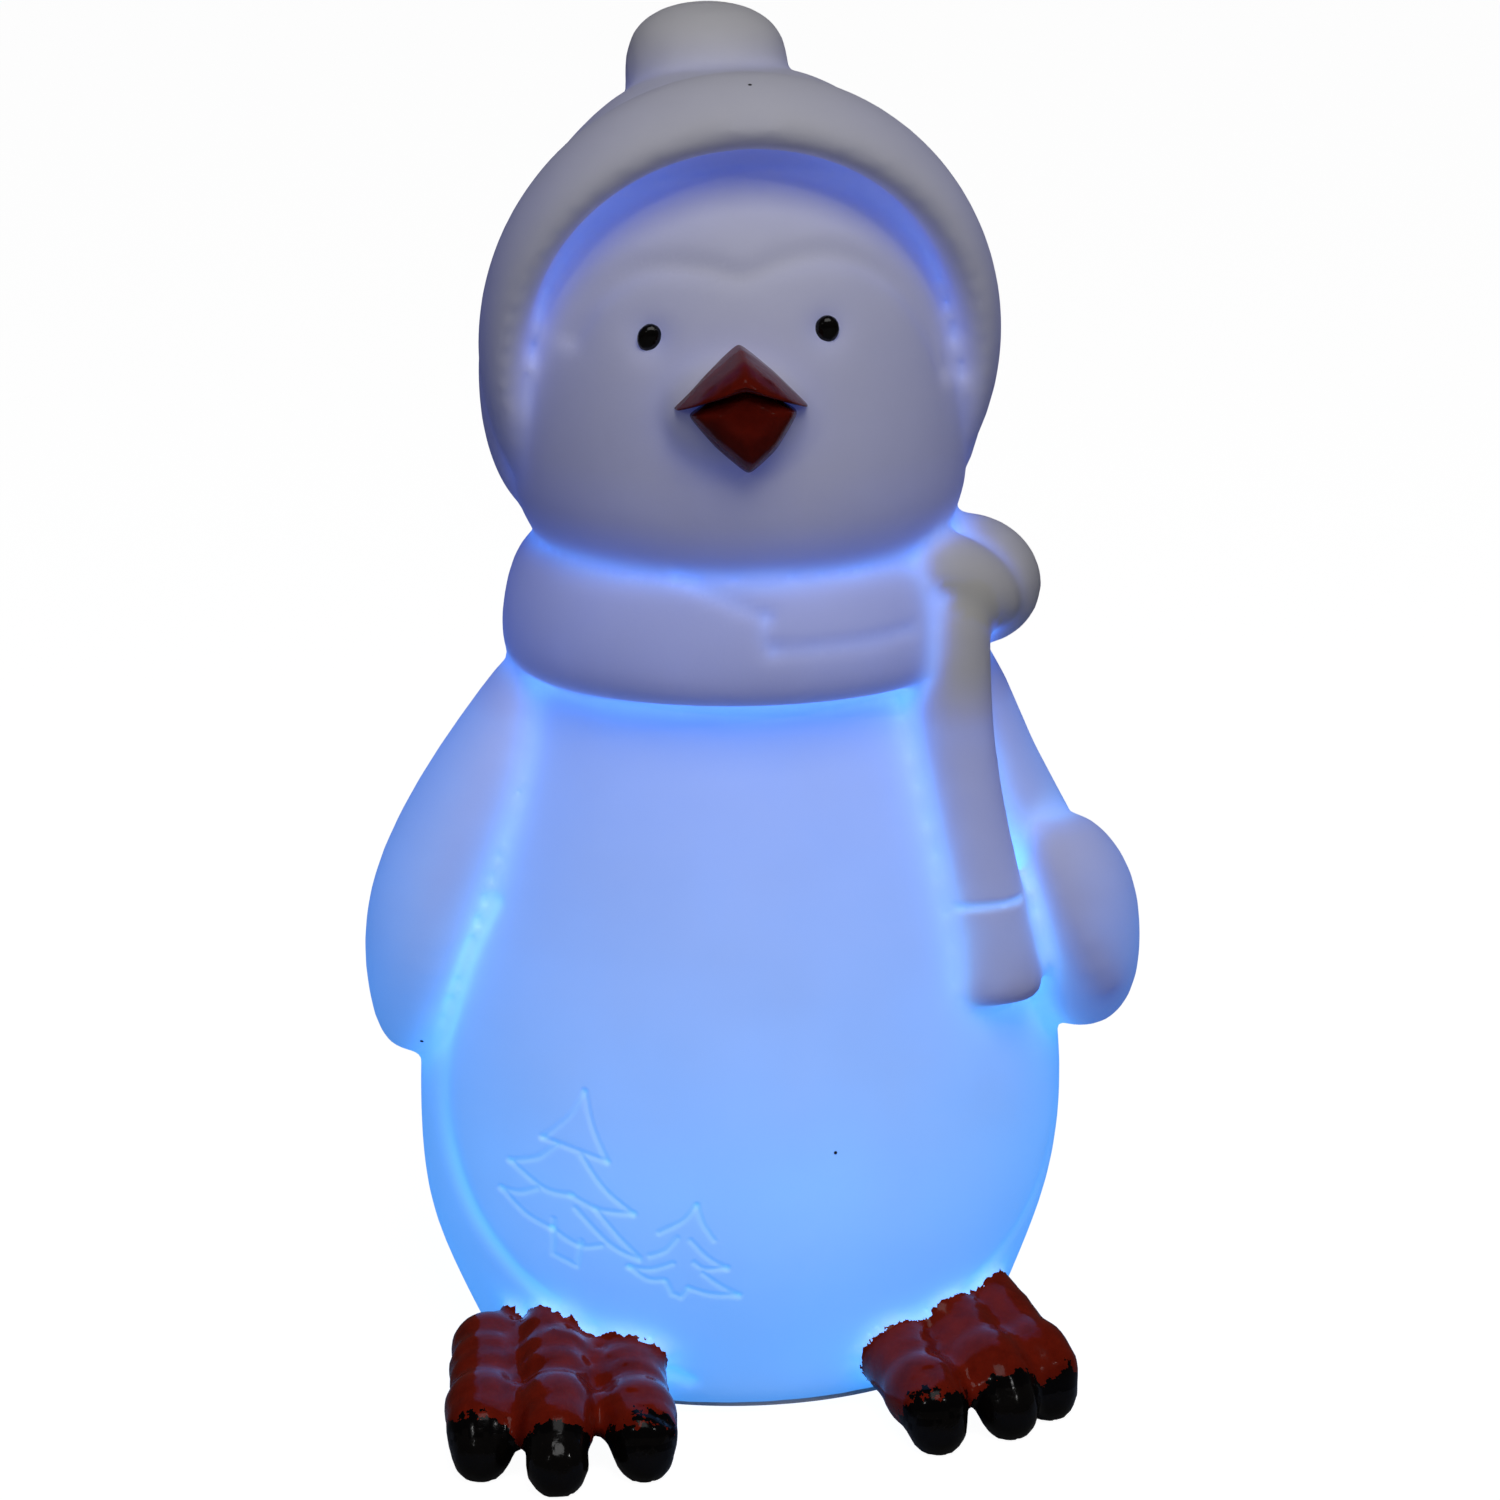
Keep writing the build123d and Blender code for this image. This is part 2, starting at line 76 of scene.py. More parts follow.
backward = Vector((math.sin(turn) * math.cos(lift), -math.cos(turn) * math.cos(lift), math.sin(lift)))
level_right = Vector((0, 0, 1)).cross(backward).normalized()
level_up = backward.cross(level_right)
camera_right = level_right * math.cos(tilt) - level_up * math.sin(tilt)
camera_up = level_right * math.sin(tilt) + level_up * math.cos(tilt)

bpy.ops.object.camera_add()
camera = bpy.context.object
camera.data.lens = lens_length
camera.data.sensor_width = 36.0
camera.matrix_world = Matrix.Translation(looked_at + backward * camera_distance) @ Matrix(
    (camera_right, camera_up, backward)).transposed().to_4x4()
bpy.context.scene.camera = camera
print("camera at", [round(value, 4) for value in camera.location])

# %% [markdown]
# ## One helper for nodes, one for colours
# Every material below is built from the same small functions. Colours are written as the sRGB hex values
# that a colour picker gives, and are turned to the linear light that the shader works in. A Mix node that
# mixes colours takes them at its inputs 6 and 7, and gives its result at output 2.

# %% Node and colour helpers
def linear(hex_colour):
    """The linear colour of an sRGB hex value."""
    shares = [int(hex_colour[i:i + 2], 16) / 255 for i in (1, 3, 5)]
    return [s / 12.92 if s <= 0.04045 else ((s + 0.055) / 1.055) ** 2.4 for s in shares] + [1.0]


def add_node(tree, kind, settings=(), inputs=()):
    """Adds a node with its settings, and sets or links its inputs."""
    made = tree.nodes.new(kind)
    for name, value in dict(settings).items():
        setattr(made, name, value)
    for name, value in dict(inputs).items():
        if isinstance(value, bpy.types.NodeSocket):
            tree.links.new(value, made.inputs[name])
        else:
            made.inputs[name].default_value = value
    return made


def new_material(name):
    """An empty material with its shader and output: returns the material, its tree and its shader."""
    material = bpy.data.materials.new(name)
    material.use_nodes = True
    tree = material.node_tree
    return material, tree, tree.nodes["Principled BSDF"]


def per_mm(size):
    """The texture scale at which one feature is about that many millimetres."""
    return 1 / (size * MM)


print("white is", [round(value, 3) for value in linear("#FFFFFF")])

# %% [markdown]
# ## Stage
# A plain pale floor and backdrop. The floor's paleness is mostly its own light, shown to the camera alone,
# so that it stays pale while the room's light is dim enough for the porcelain's glow to read.

# %% Floor
floor_paleness = 0.97
floor_material, floor_tree, floor_shader = new_material("pale matt floor")
floor_shader.inputs["Base Color"].default_value = linear("#8E8E90")
floor_shader.inputs["Roughness"].default_value = 0.9
floor_shader.inputs["Specular IOR Level"].default_value = 0.0
floor_shader.inputs["Emission Color"].default_value = linear("#FFFFFF")
seen = add_node(floor_tree, "ShaderNodeLightPath")
seen_paleness = add_node(floor_tree, "ShaderNodeMath", {"operation": "MULTIPLY"},
                         {0: seen.outputs["Is Camera Ray"], 1: floor_paleness})
floor_tree.links.new(seen_paleness.outputs[0], floor_shader.inputs["Emission Strength"])

bpy.ops.object.select_all(action="DESELECT")
bpy.ops.mesh.primitive_plane_add(size=8.0, location=(0, 0, -0.0002))
floor = bpy.context.object
floor.name = "floor"
bpy.ops.object.transform_apply(location=True)
floor.data.materials.append(floor_material)
print("floor is ready")

# %% [markdown]
# ## Room
# A dim even light from all round, and a bright backdrop that only the camera sees. Standard colours, with no
# film look, keep the blue as it is set.

# %% Room
room = bpy.data.worlds.new("dim room")
bpy.context.scene.world = room
room.use_nodes = True
sky = room.node_tree.nodes["Background"]
sky.inputs["Color"].default_value = linear("#FFFFFF")
sky_seen = add_node(room.node_tree, "ShaderNodeLightPath")
room_light, backdrop_light = 0.040, 1.0
sky_strength = add_node(room.node_tree, "ShaderNodeMapRange", {},
                        {"Value": sky_seen.outputs["Is Camera Ray"], "To Min": room_light,
                         "To Max": backdrop_light})
room.node_tree.links.new(sky_strength.outputs[0], sky.inputs["Strength"])
bpy.context.scene.view_settings.view_transform = "Standard"
print("room light", room_light, "backdrop", backdrop_light)

# %% [markdown]
# ## Lights
# One large soft lamp above and in front, as in a small tabletop studio, and a weak one on each side to
# keep the painted feet glossy.

# %% Lights
def soft_lamp(name, place, size, watts):
    """A square area lamp aimed at the middle of the figure."""
    bpy.ops.object.light_add(type="AREA", location=Vector(place))
    lamp = bpy.context.object
    lamp.name = name
    lamp.data.size = size
    lamp.data.energy = watts
    aim = Vector((0, 0, 0.09)) - Vector(place)
    lamp.rotation_euler = aim.to_track_quat("-Z", "Y").to_euler()
    return lamp


for lamp_row in [("top lamp", (0.03, -0.40, 0.60), 0.36, 1.15),
                 ("left gleam", (-0.45, -0.60, 0.42), 0.022, 0.20),
                 ("right gleam", (0.45, -0.50, 0.42), 0.022, 0.16)]:
    print(soft_lamp(*lamp_row).name, "gives", lamp_row[3], "W")

# %% [markdown]
# ## Thrown forms
# Soft cast shapes are easiest to raise ring by ring, as on a potter's wheel: a filled circle is extruded
# upwards, and each new ring is resized and shifted. A subdivision surface then runs smoothly through them.
# Rings are (height, half width, half depth, middle x, middle y) in millimetres.

# %% The ring tool and the blob tool
def throw_form(name, rings, sides=40):
    """A closed soft form raised through its rings."""
    bpy.ops.object.select_all(action="DESELECT")
    height, wide, deep, x, y = rings[0]
    bpy.ops.mesh.primitive_circle_add(vertices=sides, radius=MM, fill_type="NGON",
                                      location=(x * MM, y * MM, height * MM))
    form = bpy.context.object
    form.name = name
    bpy.ops.object.transform_apply(location=True)
    bpy.ops.object.mode_set(mode="EDIT")
    bpy.ops.transform.resize(value=(wide, deep, 1), center_override=(x * MM, y * MM, height * MM))
    for (z0, w0, d0, x0, y0), (z1, w1, d1, x1, y1) in zip(rings, rings[1:]):
        bpy.ops.mesh.extrude_region_move(
            TRANSFORM_OT_translate={"value": ((x1 - x0) * MM, (y1 - y0) * MM, (z1 - z0) * MM)})
        bpy.ops.transform.resize(value=(w1 / w0, d1 / d0, 1),
                                 center_override=(x1 * MM, y1 * MM, z1 * MM))
    bpy.ops.mesh.select_all(action="SELECT")
    bpy.ops.mesh.normals_make_consistent(inside=False)
    bpy.ops.object.mode_set(mode="OBJECT")
    soften(form, 1)
    return form


def soften(form, levels):
    """Rounds a form with a subdivision surface and applies it."""
    bpy.context.view_layer.objects.active = form
    rounding = form.modifiers.new("rounding", "SUBSURF")
    rounding.levels = rounding.render_levels = levels
    bpy.ops.object.modifier_apply(modifier=rounding.name)


def press_blob(name, middle, half_sizes, turned=(0, 0, 0)):
    """A rounded lump of clay: a sphere squeezed to its half sizes, turned and put in its place."""
    bpy.ops.object.select_all(action="DESELECT")
    bpy.ops.mesh.primitive_uv_sphere_add(segments=32, ring_count=16, radius=MM)
    blob = bpy.context.object
    blob.name = name
    blob.scale = half_sizes
    blob.rotation_euler = [math.radians(angle) for angle in turned]
    blob.location = [value * MM for value in middle]
    bpy.ops.object.transform_apply()
    return blob


def join_forms(name, parts):
    """Several forms kept as one object."""
    bpy.ops.object.select_all(action="DESELECT")
    for part in parts:
        part.select_set(True)
    bpy.context.view_layer.objects.active = parts[0]
    if len(parts) > 1:
        bpy.ops.object.join()
    parts[0].name = name
    return parts[0]


forms = {}
print("tools are ready")

# %% [markdown]
# ## Body
# The body is a rounded skittle, widest low down and narrow at the neck, and flatter front to back than it is
# wide. It could be sculpted, but rings keep each height's width plain to read and to change.

# %% Body
flatness = 0.87
body_outline = [(0, 28.6, -0.4), (2.5, 30.2, -0.4), (7, 32.2, -0.5), (12, 34.3, -0.6), (18, 36.6, -0.6),
                (24, 37.9, -0.3), (31, 38.4, 0), (39, 38.2, 0), (47, 36.9, 0), (57, 34.5, 0), (67, 31.3, 0),
                (77, 27.7, 0), (86, 24.8, 0), (96, 22.4, 0), (104, 20.5, 0)]
forms["porcelain_body"] = throw_form(
    "body form", [(z, wide, wide * flatness, x, 0) for z, wide, x in body_outline])
print("body rings", len(body_outline))

# %% [markdown]
# ## Head
# The head is almost a ball and sits a little forward. A low lump in front is the muzzle that carries the
# beak. It is a form of its own, because the fusing below blends it in.

# %% Head with its muzzle
head_outline = [(95, 15), (98, 21.3), (102, 24.8), (106, 26.1), (111, 26.4), (118, 25.9), (126, 24.4),
                (132, 22.2), (137, 19.2), (141, 15.4), (143.8, 11.0), (145.8, 5.5)]
head_ball = throw_form("head ball", [(z, wide, wide, 0.2, -4.0) for z, wide in head_outline])
muzzle = press_blob("muzzle", (-2.2, -26.5, 118.0), (8.6, 5.6, 7.2))
forms["porcelain_head"] = join_forms("head form", [head_ball, muzzle])
print("head rings", len(head_outline))

# %% [markdown]
# ## Knitted hat
# The hat is a dome behind a leaning opening. The dome is thrown whole, and bisect cuts it on the opening's
# plane, as a wire cuts clay.

# %% Hat dome
dome_outline = [(101, 22.5, 1.5, 0.96), (104, 26.0, 1.5, 0.96), (108, 28.0, 1.5, 0.96),
                (113, 29.2, 1.2, 0.96), (119, 29.5, 1.0, 0.96), (125, 28.9, 0.5, 0.97),
                (131, 27.3, 0.0, 0.99), (137, 24.7, -1.0, 1.02), (142, 21.4, -2.2, 1.06),
                (146.5, 17.6, -3.2, 1.12), (149.8, 14.0, -3.6, 1.15), (152.0, 10.0, -3.0, 1.15),
                (153.3, 5.5, -2.0, 1.1)]
dome = throw_form("dome", [(z, wide, wide * depth, 0, y) for z, wide, y, depth in dome_outline])
brim_lean = math.radians(19.0)
opening_middle = Vector((0.0, -10.5, 122.5)) * MM
opening_normal = Vector((0, -math.cos(brim_lean), -math.sin(brim_lean)))
groove_depth = 1.6 * MM
bpy.ops.object.mode_set(mode="EDIT")
bpy.ops.mesh.select_all(action="SELECT")
bpy.ops.mesh.bisect(plane_co=opening_middle - opening_normal * groove_depth, plane_no=opening_normal,
                    use_fill=True, clear_outer=True)
bpy.ops.object.mode_set(mode="OBJECT")
print("dome opening leans", round(math.degrees(brim_lean)), "degrees")

# %% [markdown]
# ## Rolled brim
# The brim is a rolled ring that follows the opening, thickest on top. A torus is already a roll, so it only
# has to be stretched to the opening, fattened at its top and leaned.

# %% Rolled brim
brim_half_width, brim_half_height, roll_radius = 26.9, 28.5, 2.7
bpy.ops.object.select_all(action="DESELECT")
ring_radius, brim_setback, fatter_top = 26, 2.0, 0.15
bpy.ops.mesh.primitive_torus_add(major_segments=72, minor_segments=20, major_radius=ring_radius * MM,
                                 minor_radius=roll_radius * MM)
brim = bpy.context.object
bpy.ops.object.mode_set(mode="EDIT")
bpy.ops.mesh.select_all(action="SELECT")
brim_stretch = (brim_half_width / ring_radius, brim_half_height / ring_radius, 2.3)
bpy.ops.transform.resize(value=brim_stretch, center_override=(0, 0, 0))
bpy.ops.object.mode_set(mode="OBJECT")
for vertex in brim.data.vertices:
    x, y, z = vertex.co
    around = math.hypot(x / brim_half_width, y / brim_half_height) / MM
    share = max(0.0, y / (brim_half_height * MM)) ** 2 * fatter_top
    middle = Vector((x / around, y / around, 0)) if around else Vector()
    vertex.co = middle + (vertex.co - middle) * (1 + share)
brim.rotation_euler = (math.radians(90) + brim_lean, 0, 0)
brim.location = opening_middle - opening_normal * brim_setback * MM
bpy.ops.object.transform_apply()
forms["porcelain_hat"] = join_forms("hat form", [dome, brim])
print("brim", brim_half_width * 2, "mm wide")

# %% [markdown]
# ## Pompom
# A squat soft drum on top of the hat, a little behind its middle. The casting lost the wool's strands, so
# a few rings are enough.

# %% Pompom
pompom_outline = [(143, 7.0), (147, 9.0), (151, 9.6), (155, 9.3), (157.6, 7.8), (159.2, 5.0), (159.9, 2.0)]
forms["porcelain_pompom"] = throw_form(
    "pompom form", [(z, wide, wide * 0.98, -1.9, 7.5) for z, wide in pompom_outline])
print("pompom top", pompom_outline[-1][0], "mm")

# %% [markdown]
# ## Scarf
# A band round the neck, a thrown-over loop at the left shoulder, and one hanging tail that narrows in the
# middle and flares to its end. The tail follows the body's surface downwards.

# %% Scarf band, loop and tail
band_outline = [(84.2, 23.5), (84.9, 26.2), (87, 27.7), (91, 27.7), (95, 27.0), (98.5, 25.7), (100.2, 24.0),
                (100.8, 21.0)]
forms["porcelain_scarf_band"] = throw_form(
    "band form", [(z, wide, wide * 0.97, 0.2, -2.2) for z, wide in band_outline])
loop_back = press_blob("loop back", (26.5, -5.0, 94.0), (8.6, 9.5, 7.6), (0, 12, 0))
loop_front = press_blob("loop front", (23.4, -12.8, 95.6), (9.3, 6.8, 5.3), (0, 28, 20))
forms["porcelain_scarf_loop"] = join_forms("loop form", [loop_back, loop_front])
tail_rings = [(97.5, 3.8, 3.6, 23.2, -14.7), (94, 4.7, 4.5, 22.8, -15.9), (88, 5.3, 4.9, 22.3, -16.5),
              (79, 4.9, 4.7, 22.8, -16.7), (69, 4.8, 4.7, 24.3, -18.2), (62, 5.3, 4.8, 25.4, -19.3),
              (56, 5.8, 4.9, 26.3, -20.2), (51, 6.5, 5.2, 26.6, -20.8), (48.7, 6.4, 4.9, 26.6, -20.8),
              (47.9, 5.2, 3.8, 26.6, -20.6)]
forms["porcelain_scarf_tail"] = throw_form("tail form", tail_rings, sides=16)
print("tail", tail_rings[0][0] - tail_rings[-1][0], "mm long")

# %% [markdown]
# ## Wings
# The right wing is a flat flipper against the side. The left one bends at the elbow and ends in a padded
# hand that lies on the hip.

# %% Wings
right_wing_rings = [(86.5, 2.0, 4.0, -24.5, -1.5), (82, 4.6, 8.0, -25.4, -2), (75, 6.8, 10.8, -28.4, -2),
                    (67, 8.0, 12.4, -32.2, -2), (59, 8.4, 12.6, -35.3, -2), (52, 8.0, 11.8, -36.6, -2),
                    (45.5, 6.9, 9.2, -37.2, -1.5), (40.6, 5.0, 6.0, -37.8, -1), (38.6, 2.4, 3.0, -38.2, -0.5)]
forms["porcelain_right_wing"] = throw_form("right wing form", right_wing_rings, sides=24)
upper_arm = throw_form("upper arm", [
    (88, 2.5, 4.5, 25.5, -2), (82, 5.2, 8.2, 26.4, -2.5), (74, 5.9, 9.6, 28.4, -3.5),
    (66, 6.9, 10.2, 32.1, -5), (58, 6.2, 9.0, 35.8, -6), (52, 3.5, 5.0, 37.0, -6)], sides=24)
hand_rings = [(67.6, 2.4, 3.2, 36.0, -13), (65.6, 5.2, 7.0, 36.5, -13), (60.5, 7.4, 9.8, 37.6, -12.6),
              (54, 7.8, 10.6, 38.1, -12), (48, 7.2, 9.6, 38.6, -11), (43.4, 5.4, 7.0, 39.0, -9.5),
              (41.0, 2.6, 3.4, 39.2, -8.5)]
hand = throw_form("hand", hand_rings, sides=24)
forms["porcelain_left_wing"] = join_forms("left wing form", [upper_arm, hand])
for side, rings in (("right", right_wing_rings), ("left", hand_rings)):
    print(side, "wing reaches x", max(abs(x) + wide for _, wide, _, x, _ in rings))

# %% [markdown]
# ## Feet
# Each foot has three toes. A toe is a row of overlapping lumps, close together at the back so that they
# read as folds, with one longer lump in front and a claw that turns down to the floor.

# %% Feet
toe_paths = {
    "right": [((-31.5, -18.0, 8.0), (-33.8, -39.0, 4.6)), ((-24.2, -22.0, 9.2), (-25.6, -44.5, 4.8)),
              ((-16.6, -23.0, 7.4), (-15.6, -41.5, 4.4))],
    "left": [((14.5, -22.0, 7.4), (18.2, -38.0, 4.4)), ((21.0, -20.0, 9.4), (27.0, -34.6, 4.8)),
             ((26.0, -16.0, 9.8), (32.4, -29.4, 4.8))],
}
lumps = [(0.06, 4.6, 1.0), (0.27, 4.6, 0.80), (0.43, 4.4, 0.75), (0.68, 4.6, 1.30), (0.87, 4.2, 1.0)]
for side, paths in toe_paths.items():
    toe_lumps, claw_lumps = [], []
    for number, (heel, tip) in enumerate(paths):
        heel, tip = Vector(heel), Vector(tip)
        fold_shift = (0.03, -0.04, 0.05)[number]
        heading = math.degrees(math.atan2(tip.x - heel.x, -(tip.y - heel.y)))
        for share, radius, stretch in lumps:
            toe_lumps.append(press_blob("toe lump", heel.lerp(tip, share + fold_shift),
                                        (radius, radius * stretch, radius), (0, 0, heading)))
        claw_middle = tip - (tip - heel).normalized() * 0.4
        claw_lumps.append(press_blob("claw", (claw_middle.x, claw_middle.y, 3.3), (3.7, 3.4, 4.2),
                                     (-24, 0, heading)))
    forms[f"glazed_{side}_foot"] = join_forms(f"{side} foot form", toe_lumps)
    forms[f"glazed_{side}_claws"] = join_forms(f"{side} claws form", claw_lumps)
print("toes", sum(len(paths) for paths in toe_paths.values()))

# %% [markdown]
# ## Tools that read the mesh as rows of numbers
# The skin has many vertices, so they are read and moved all at once, one row each. Some steps also measure
# how far a place is from a form, and first leave out the places outside the form's box.

# %% Vertex tools
def vertex_array(mesh, what="co"):
    """The mesh's vertex positions or normals, one row each."""
    values = np.empty(len(mesh.vertices) * 3, np.float32)
    (mesh.vertices if what == "co" else mesh.vertex_normals).foreach_get(
        "co" if what == "co" else "vector", values)
    return values.reshape(-1, 3)


def set_positions(mesh, places):
    """Moves the mesh's vertices to those places."""
    mesh.vertices.foreach_set("co", places.astype(np.float32).ravel())
    mesh.update()


def keep_on_vertices(mesh, name, values, kind="FLOAT"):
    """Keeps a number or a vector on each vertex, under a name that materials can read."""
    kept = mesh.attributes.new(name, kind, "POINT")
    kept.data.foreach_set("value" if kind == "FLOAT" else "vector", values.astype(np.float32).ravel())


def select_only(obj):
    """Selects one object and makes it the active one."""
    bpy.ops.object.select_all(action="DESELECT")
    obj.select_set(True)
    bpy.context.view_layer.objects.active = obj


def near_form(name, places, margin):
    """A form's surface to measure from, and which of the places are in its box with a margin."""
    surface = BVHTree.FromObject(forms[name], bpy.context.evaluated_depsgraph_get())
    corners = vertex_array(forms[name].data)
    low, high = corners.min(0) - margin, corners.max(0) + margin
    return surface, np.all((places > low) & (places < high), axis=1)


print("body form has", len(vertex_array(forms["porcelain_body"].data)), "vertices")

# %% [markdown]
# ## Fuse the forms into one cast skin
# Slip casting leaves no seams between hat, scarf and body, and every corner comes out soft. A voxel remesh
# of all the forms together and a little smoothing do the same. A union of the forms would keep them exact,
# but with hard corners between them.

# %% Fuse
bpy.ops.object.select_all(action="DESELECT")
for form in forms.values():
    form.select_set(True)
bpy.context.view_layer.objects.active = forms["porcelain_body"]
bpy.ops.object.duplicate()
bpy.ops.object.join()
skin = bpy.context.object
skin.name = "cast skin"
cell = 0.85 * MM
remesh = skin.modifiers.new("fuse", "REMESH")
remesh.mode = "VOXEL"
remesh.voxel_size = cell
soft = skin.modifiers.new("soft corners", "SMOOTH")
soft.factor = 0.5
soft.iterations = 7
for modifier in ("fuse", "soft corners"):
    bpy.ops.object.modifier_apply(modifier=modifier)
print("fused skin has", len(skin.data.vertices), "vertices")

# %% [markdown]
# ## Keep only the outside
# The remesh also wraps the closed hollows between the forms. What is joined to the topmost vertex is the
# outside, and the rest is deleted. Nothing may dip under the floor.

# %% Outside only
bpy.ops.object.mode_set(mode="EDIT")
bpy.ops.mesh.select_mode(type="VERT")
bpy.ops.mesh.select_all(action="DESELECT")
bpy.ops.object.mode_set(mode="OBJECT")
skin.data.vertices[int(np.argmax(vertex_array(skin.data)[:, 2]))].select = True
bpy.ops.object.mode_set(mode="EDIT")
bpy.ops.mesh.select_linked()
bpy.ops.mesh.select_all(action="INVERT")
bpy.ops.mesh.delete(type="VERT")
bpy.ops.object.mode_set(mode="OBJECT")
places = vertex_array(skin.data)
places[:, 2] = np.maximum(places[:, 2], 0)
set_positions(skin.data, places)
print("cast skin has", len(skin.data.vertices), "vertices")

# %% [markdown]
# ## How thick the wall is
# Slip leaves more clay on a ridge and less in a groove. The height of the skin above a heavily smoothed copy
# of itself stands for that: positive where the wall is thick and dark, negative where it is thin and bright.

# %% Wall
def smoothed(obj, times):
    """Vertex positions of the object after that many rounds of smoothing."""
    select_only(obj)
    bpy.ops.object.duplicate()
    copy = bpy.context.object
    calm = copy.modifiers.new("calm", "SMOOTH")
    calm.factor = 1.0
    calm.iterations = times
    bpy.ops.object.modifier_apply(modifier=calm.name)
    result = vertex_array(copy.data).copy()
    bpy.data.objects.remove(copy)
    return result


normals = vertex_array(skin.data, "normal").copy()
wide_rounds, near_rounds, wide_share, near_share = 86, 17, 0.55, 1.2
wall_wide = np.einsum("ij,ij->i", places - smoothed(skin, wide_rounds), normals) / MM
wall_near = np.einsum("ij,ij->i", places - smoothed(skin, near_rounds), normals) / MM
wall = wide_share * wall_wide + near_share * wall_near
keep_on_vertices(skin.data, "wall", wall)
print("wall from", round(float(wall.min()), 2), "to", round(float(wall.max()), 2), "mm")

# %% [markdown]
# ## Pressed lines
# The belly's oval edge, two small fir trees, the folds of the scarf, its hem and the brow were all cut in
# the mould. Each is a line of (x, z) points in mm, seen from the front, and most are rounded.

# %% Line tools
def distance_to_line(places, line):
    """Distance in mm, seen from the front, from each place to a line of (x, z) points in mm."""
    flat = places[:, (0, 2)] / MM
    best = np.full(len(flat), 1e9)
    for start, end in zip(line, line[1:]):
        start, along = np.array(start, float), np.array(end, float) - np.array(start, float)
        share = np.clip(((flat - start) @ along) / (along @ along), 0, 1)
        best = np.minimum(best, np.hypot(*(flat - start - share[:, None] * along).T))
    return best


def rounded_line(points, steps=6):
    """A smooth line through the points."""
    line = []
    padded = [points[0]] + list(points) + [points[-1]]
    for before, start, end, after in zip(padded, padded[1:], padded[2:], padded[3:]):
        for step in range(steps):
            t = step / steps
            line.append(tuple(0.5 * (2 * s + (e - b) * t + (2 * b - 5 * s + 4 * e - a) * t * t
                                     + (3 * s - b - 3 * e + a) * t ** 3)
                              for b, s, e, a in zip(before, start, end, after)))
    return line + [points[-1]]


tree_strokes = [
    [(-20.6, 41.0), (-22.3, 38.0), (-25.3, 34.9)], [(-20.6, 41.0), (-19.9, 37.2), (-18.3, 33.1)],
    [(-25.3, 34.9), (-22.3, 34.2), (-18.3, 33.1)], [(-23.8, 34.4), (-25.9, 32.4), (-28.9, 31.3)],
    [(-28.9, 31.3), (-25.3, 28.8), (-22.3, 28.5)], [(-21.1, 33.4), (-18.7, 29.8), (-15.5, 27.1)],
    [(-22.3, 28.5), (-19.3, 27.2), (-15.5, 27.1)], [(-26.1, 28.6), (-27.9, 27.7), (-29.9, 27.6)],
    [(-29.9, 27.6), (-27.3, 25.2), (-24.5, 24.0)], [(-19.7, 27.2), (-17.1, 24.0), (-14.9, 21.7)],
    [(-21.9, 27.0), (-18.1, 23.0), (-14.9, 21.4)], [(-24.5, 24.0), (-21.5, 22.4), (-19.1, 22.8)],
    [(-24.3, 25.2), (-24.4, 20.8), (-21.8, 19.7), (-21.3, 23.0)],
    [(-8.5, 28.5), (-10.0, 26.6), (-12.7, 25.0)], [(-8.5, 28.5), (-7.8, 26.3), (-6.6, 24.3)],
    [(-10.7, 24.4), (-12.0, 22.8), (-13.7, 22.0)], [(-9.2, 24.2), (-7.2, 22.0), (-5.1, 20.7)],
    [(-8.8, 21.4), (-7.6, 20.6), (-5.1, 20.7)], [(-11.2, 21.2), (-13.6, 20.3), (-16.0, 20.4)],
    [(-16.0, 20.4), (-14.0, 19.0), (-12.2, 19.0)], [(-7.8, 20.0), (-5.8, 18.4), (-3.7, 17.1)],
    [(-9.4, 18.1), (-7.0, 17.3), (-3.7, 17.1)],
    [(-11.9, 18.8), (-11.2, 17.2), (-10.2, 16.8), (-9.4, 17.9)],
]
# A trunk has four points and straight sides. Every other stroke has three points and is rounded.
tree_lines = [rounded_line(stroke) if len(stroke) == 3 else stroke for stroke in tree_strokes]
belly_line = rounded_line([(-29.6, 60.0), (-33.2, 52.0), (-35.6, 42.0), (-35.9, 33.0), (-33.6, 24.5),
                           (-28.8, 17.6), (-22.5, 12.6), (-15.5, 8.6), (-9.0, 5.0)])
belly_line_left = rounded_line([(37.2, 34.0), (35.6, 26.0), (31.5, 19.0), (25.0, 13.6), (16.5, 8.5)])
hem_line = [(22.6, 59.7), (25.0, 59.9), (30.0, 60.1)]
fold_lines = [rounded_line([(1.2, 91.6), (7.6, 91.7), (12.5, 91.8), (17.5, 92.2)]),
              rounded_line([(-9.0, 99.4), (-4.0, 97.2), (0.6, 95.2)]),
              rounded_line([(0.6, 95.2), (0.2, 93.0), (1.2, 91.6)])]
hand_fold = rounded_line([(33.6, 64.8), (36.8, 56.0), (40.2, 49.0)])
brow_line = rounded_line([(-20.0, 125.6), (-17.6, 129.8), (-13.6, 133.0), (-9.6, 134.0), (-5.2, 133.8),
                          (-1.4, 133.0), (2.6, 134.2), (7.4, 134.9), (12.0, 133.9), (17.0, 130.6),
                          (20.6, 125.4), (22.6, 120.5)])
print("tree lines", len(tree_lines))

# %% [markdown]
# ## A finer mesh under the thin lines
# A line can't be thinner than the faces that carry it. Only the faces near a line are cut finer, because the
# rest is smooth.

# %% Cut the mesh finer
def cut_finer(chosen, cuts):
    """Subdivides the skin's chosen faces."""
    skin.data.polygons.foreach_set("select", chosen)
    bpy.ops.object.mode_set(mode="EDIT")
    bpy.ops.mesh.subdivide(number_cuts=cuts)
    bpy.ops.object.mode_set(mode="OBJECT")


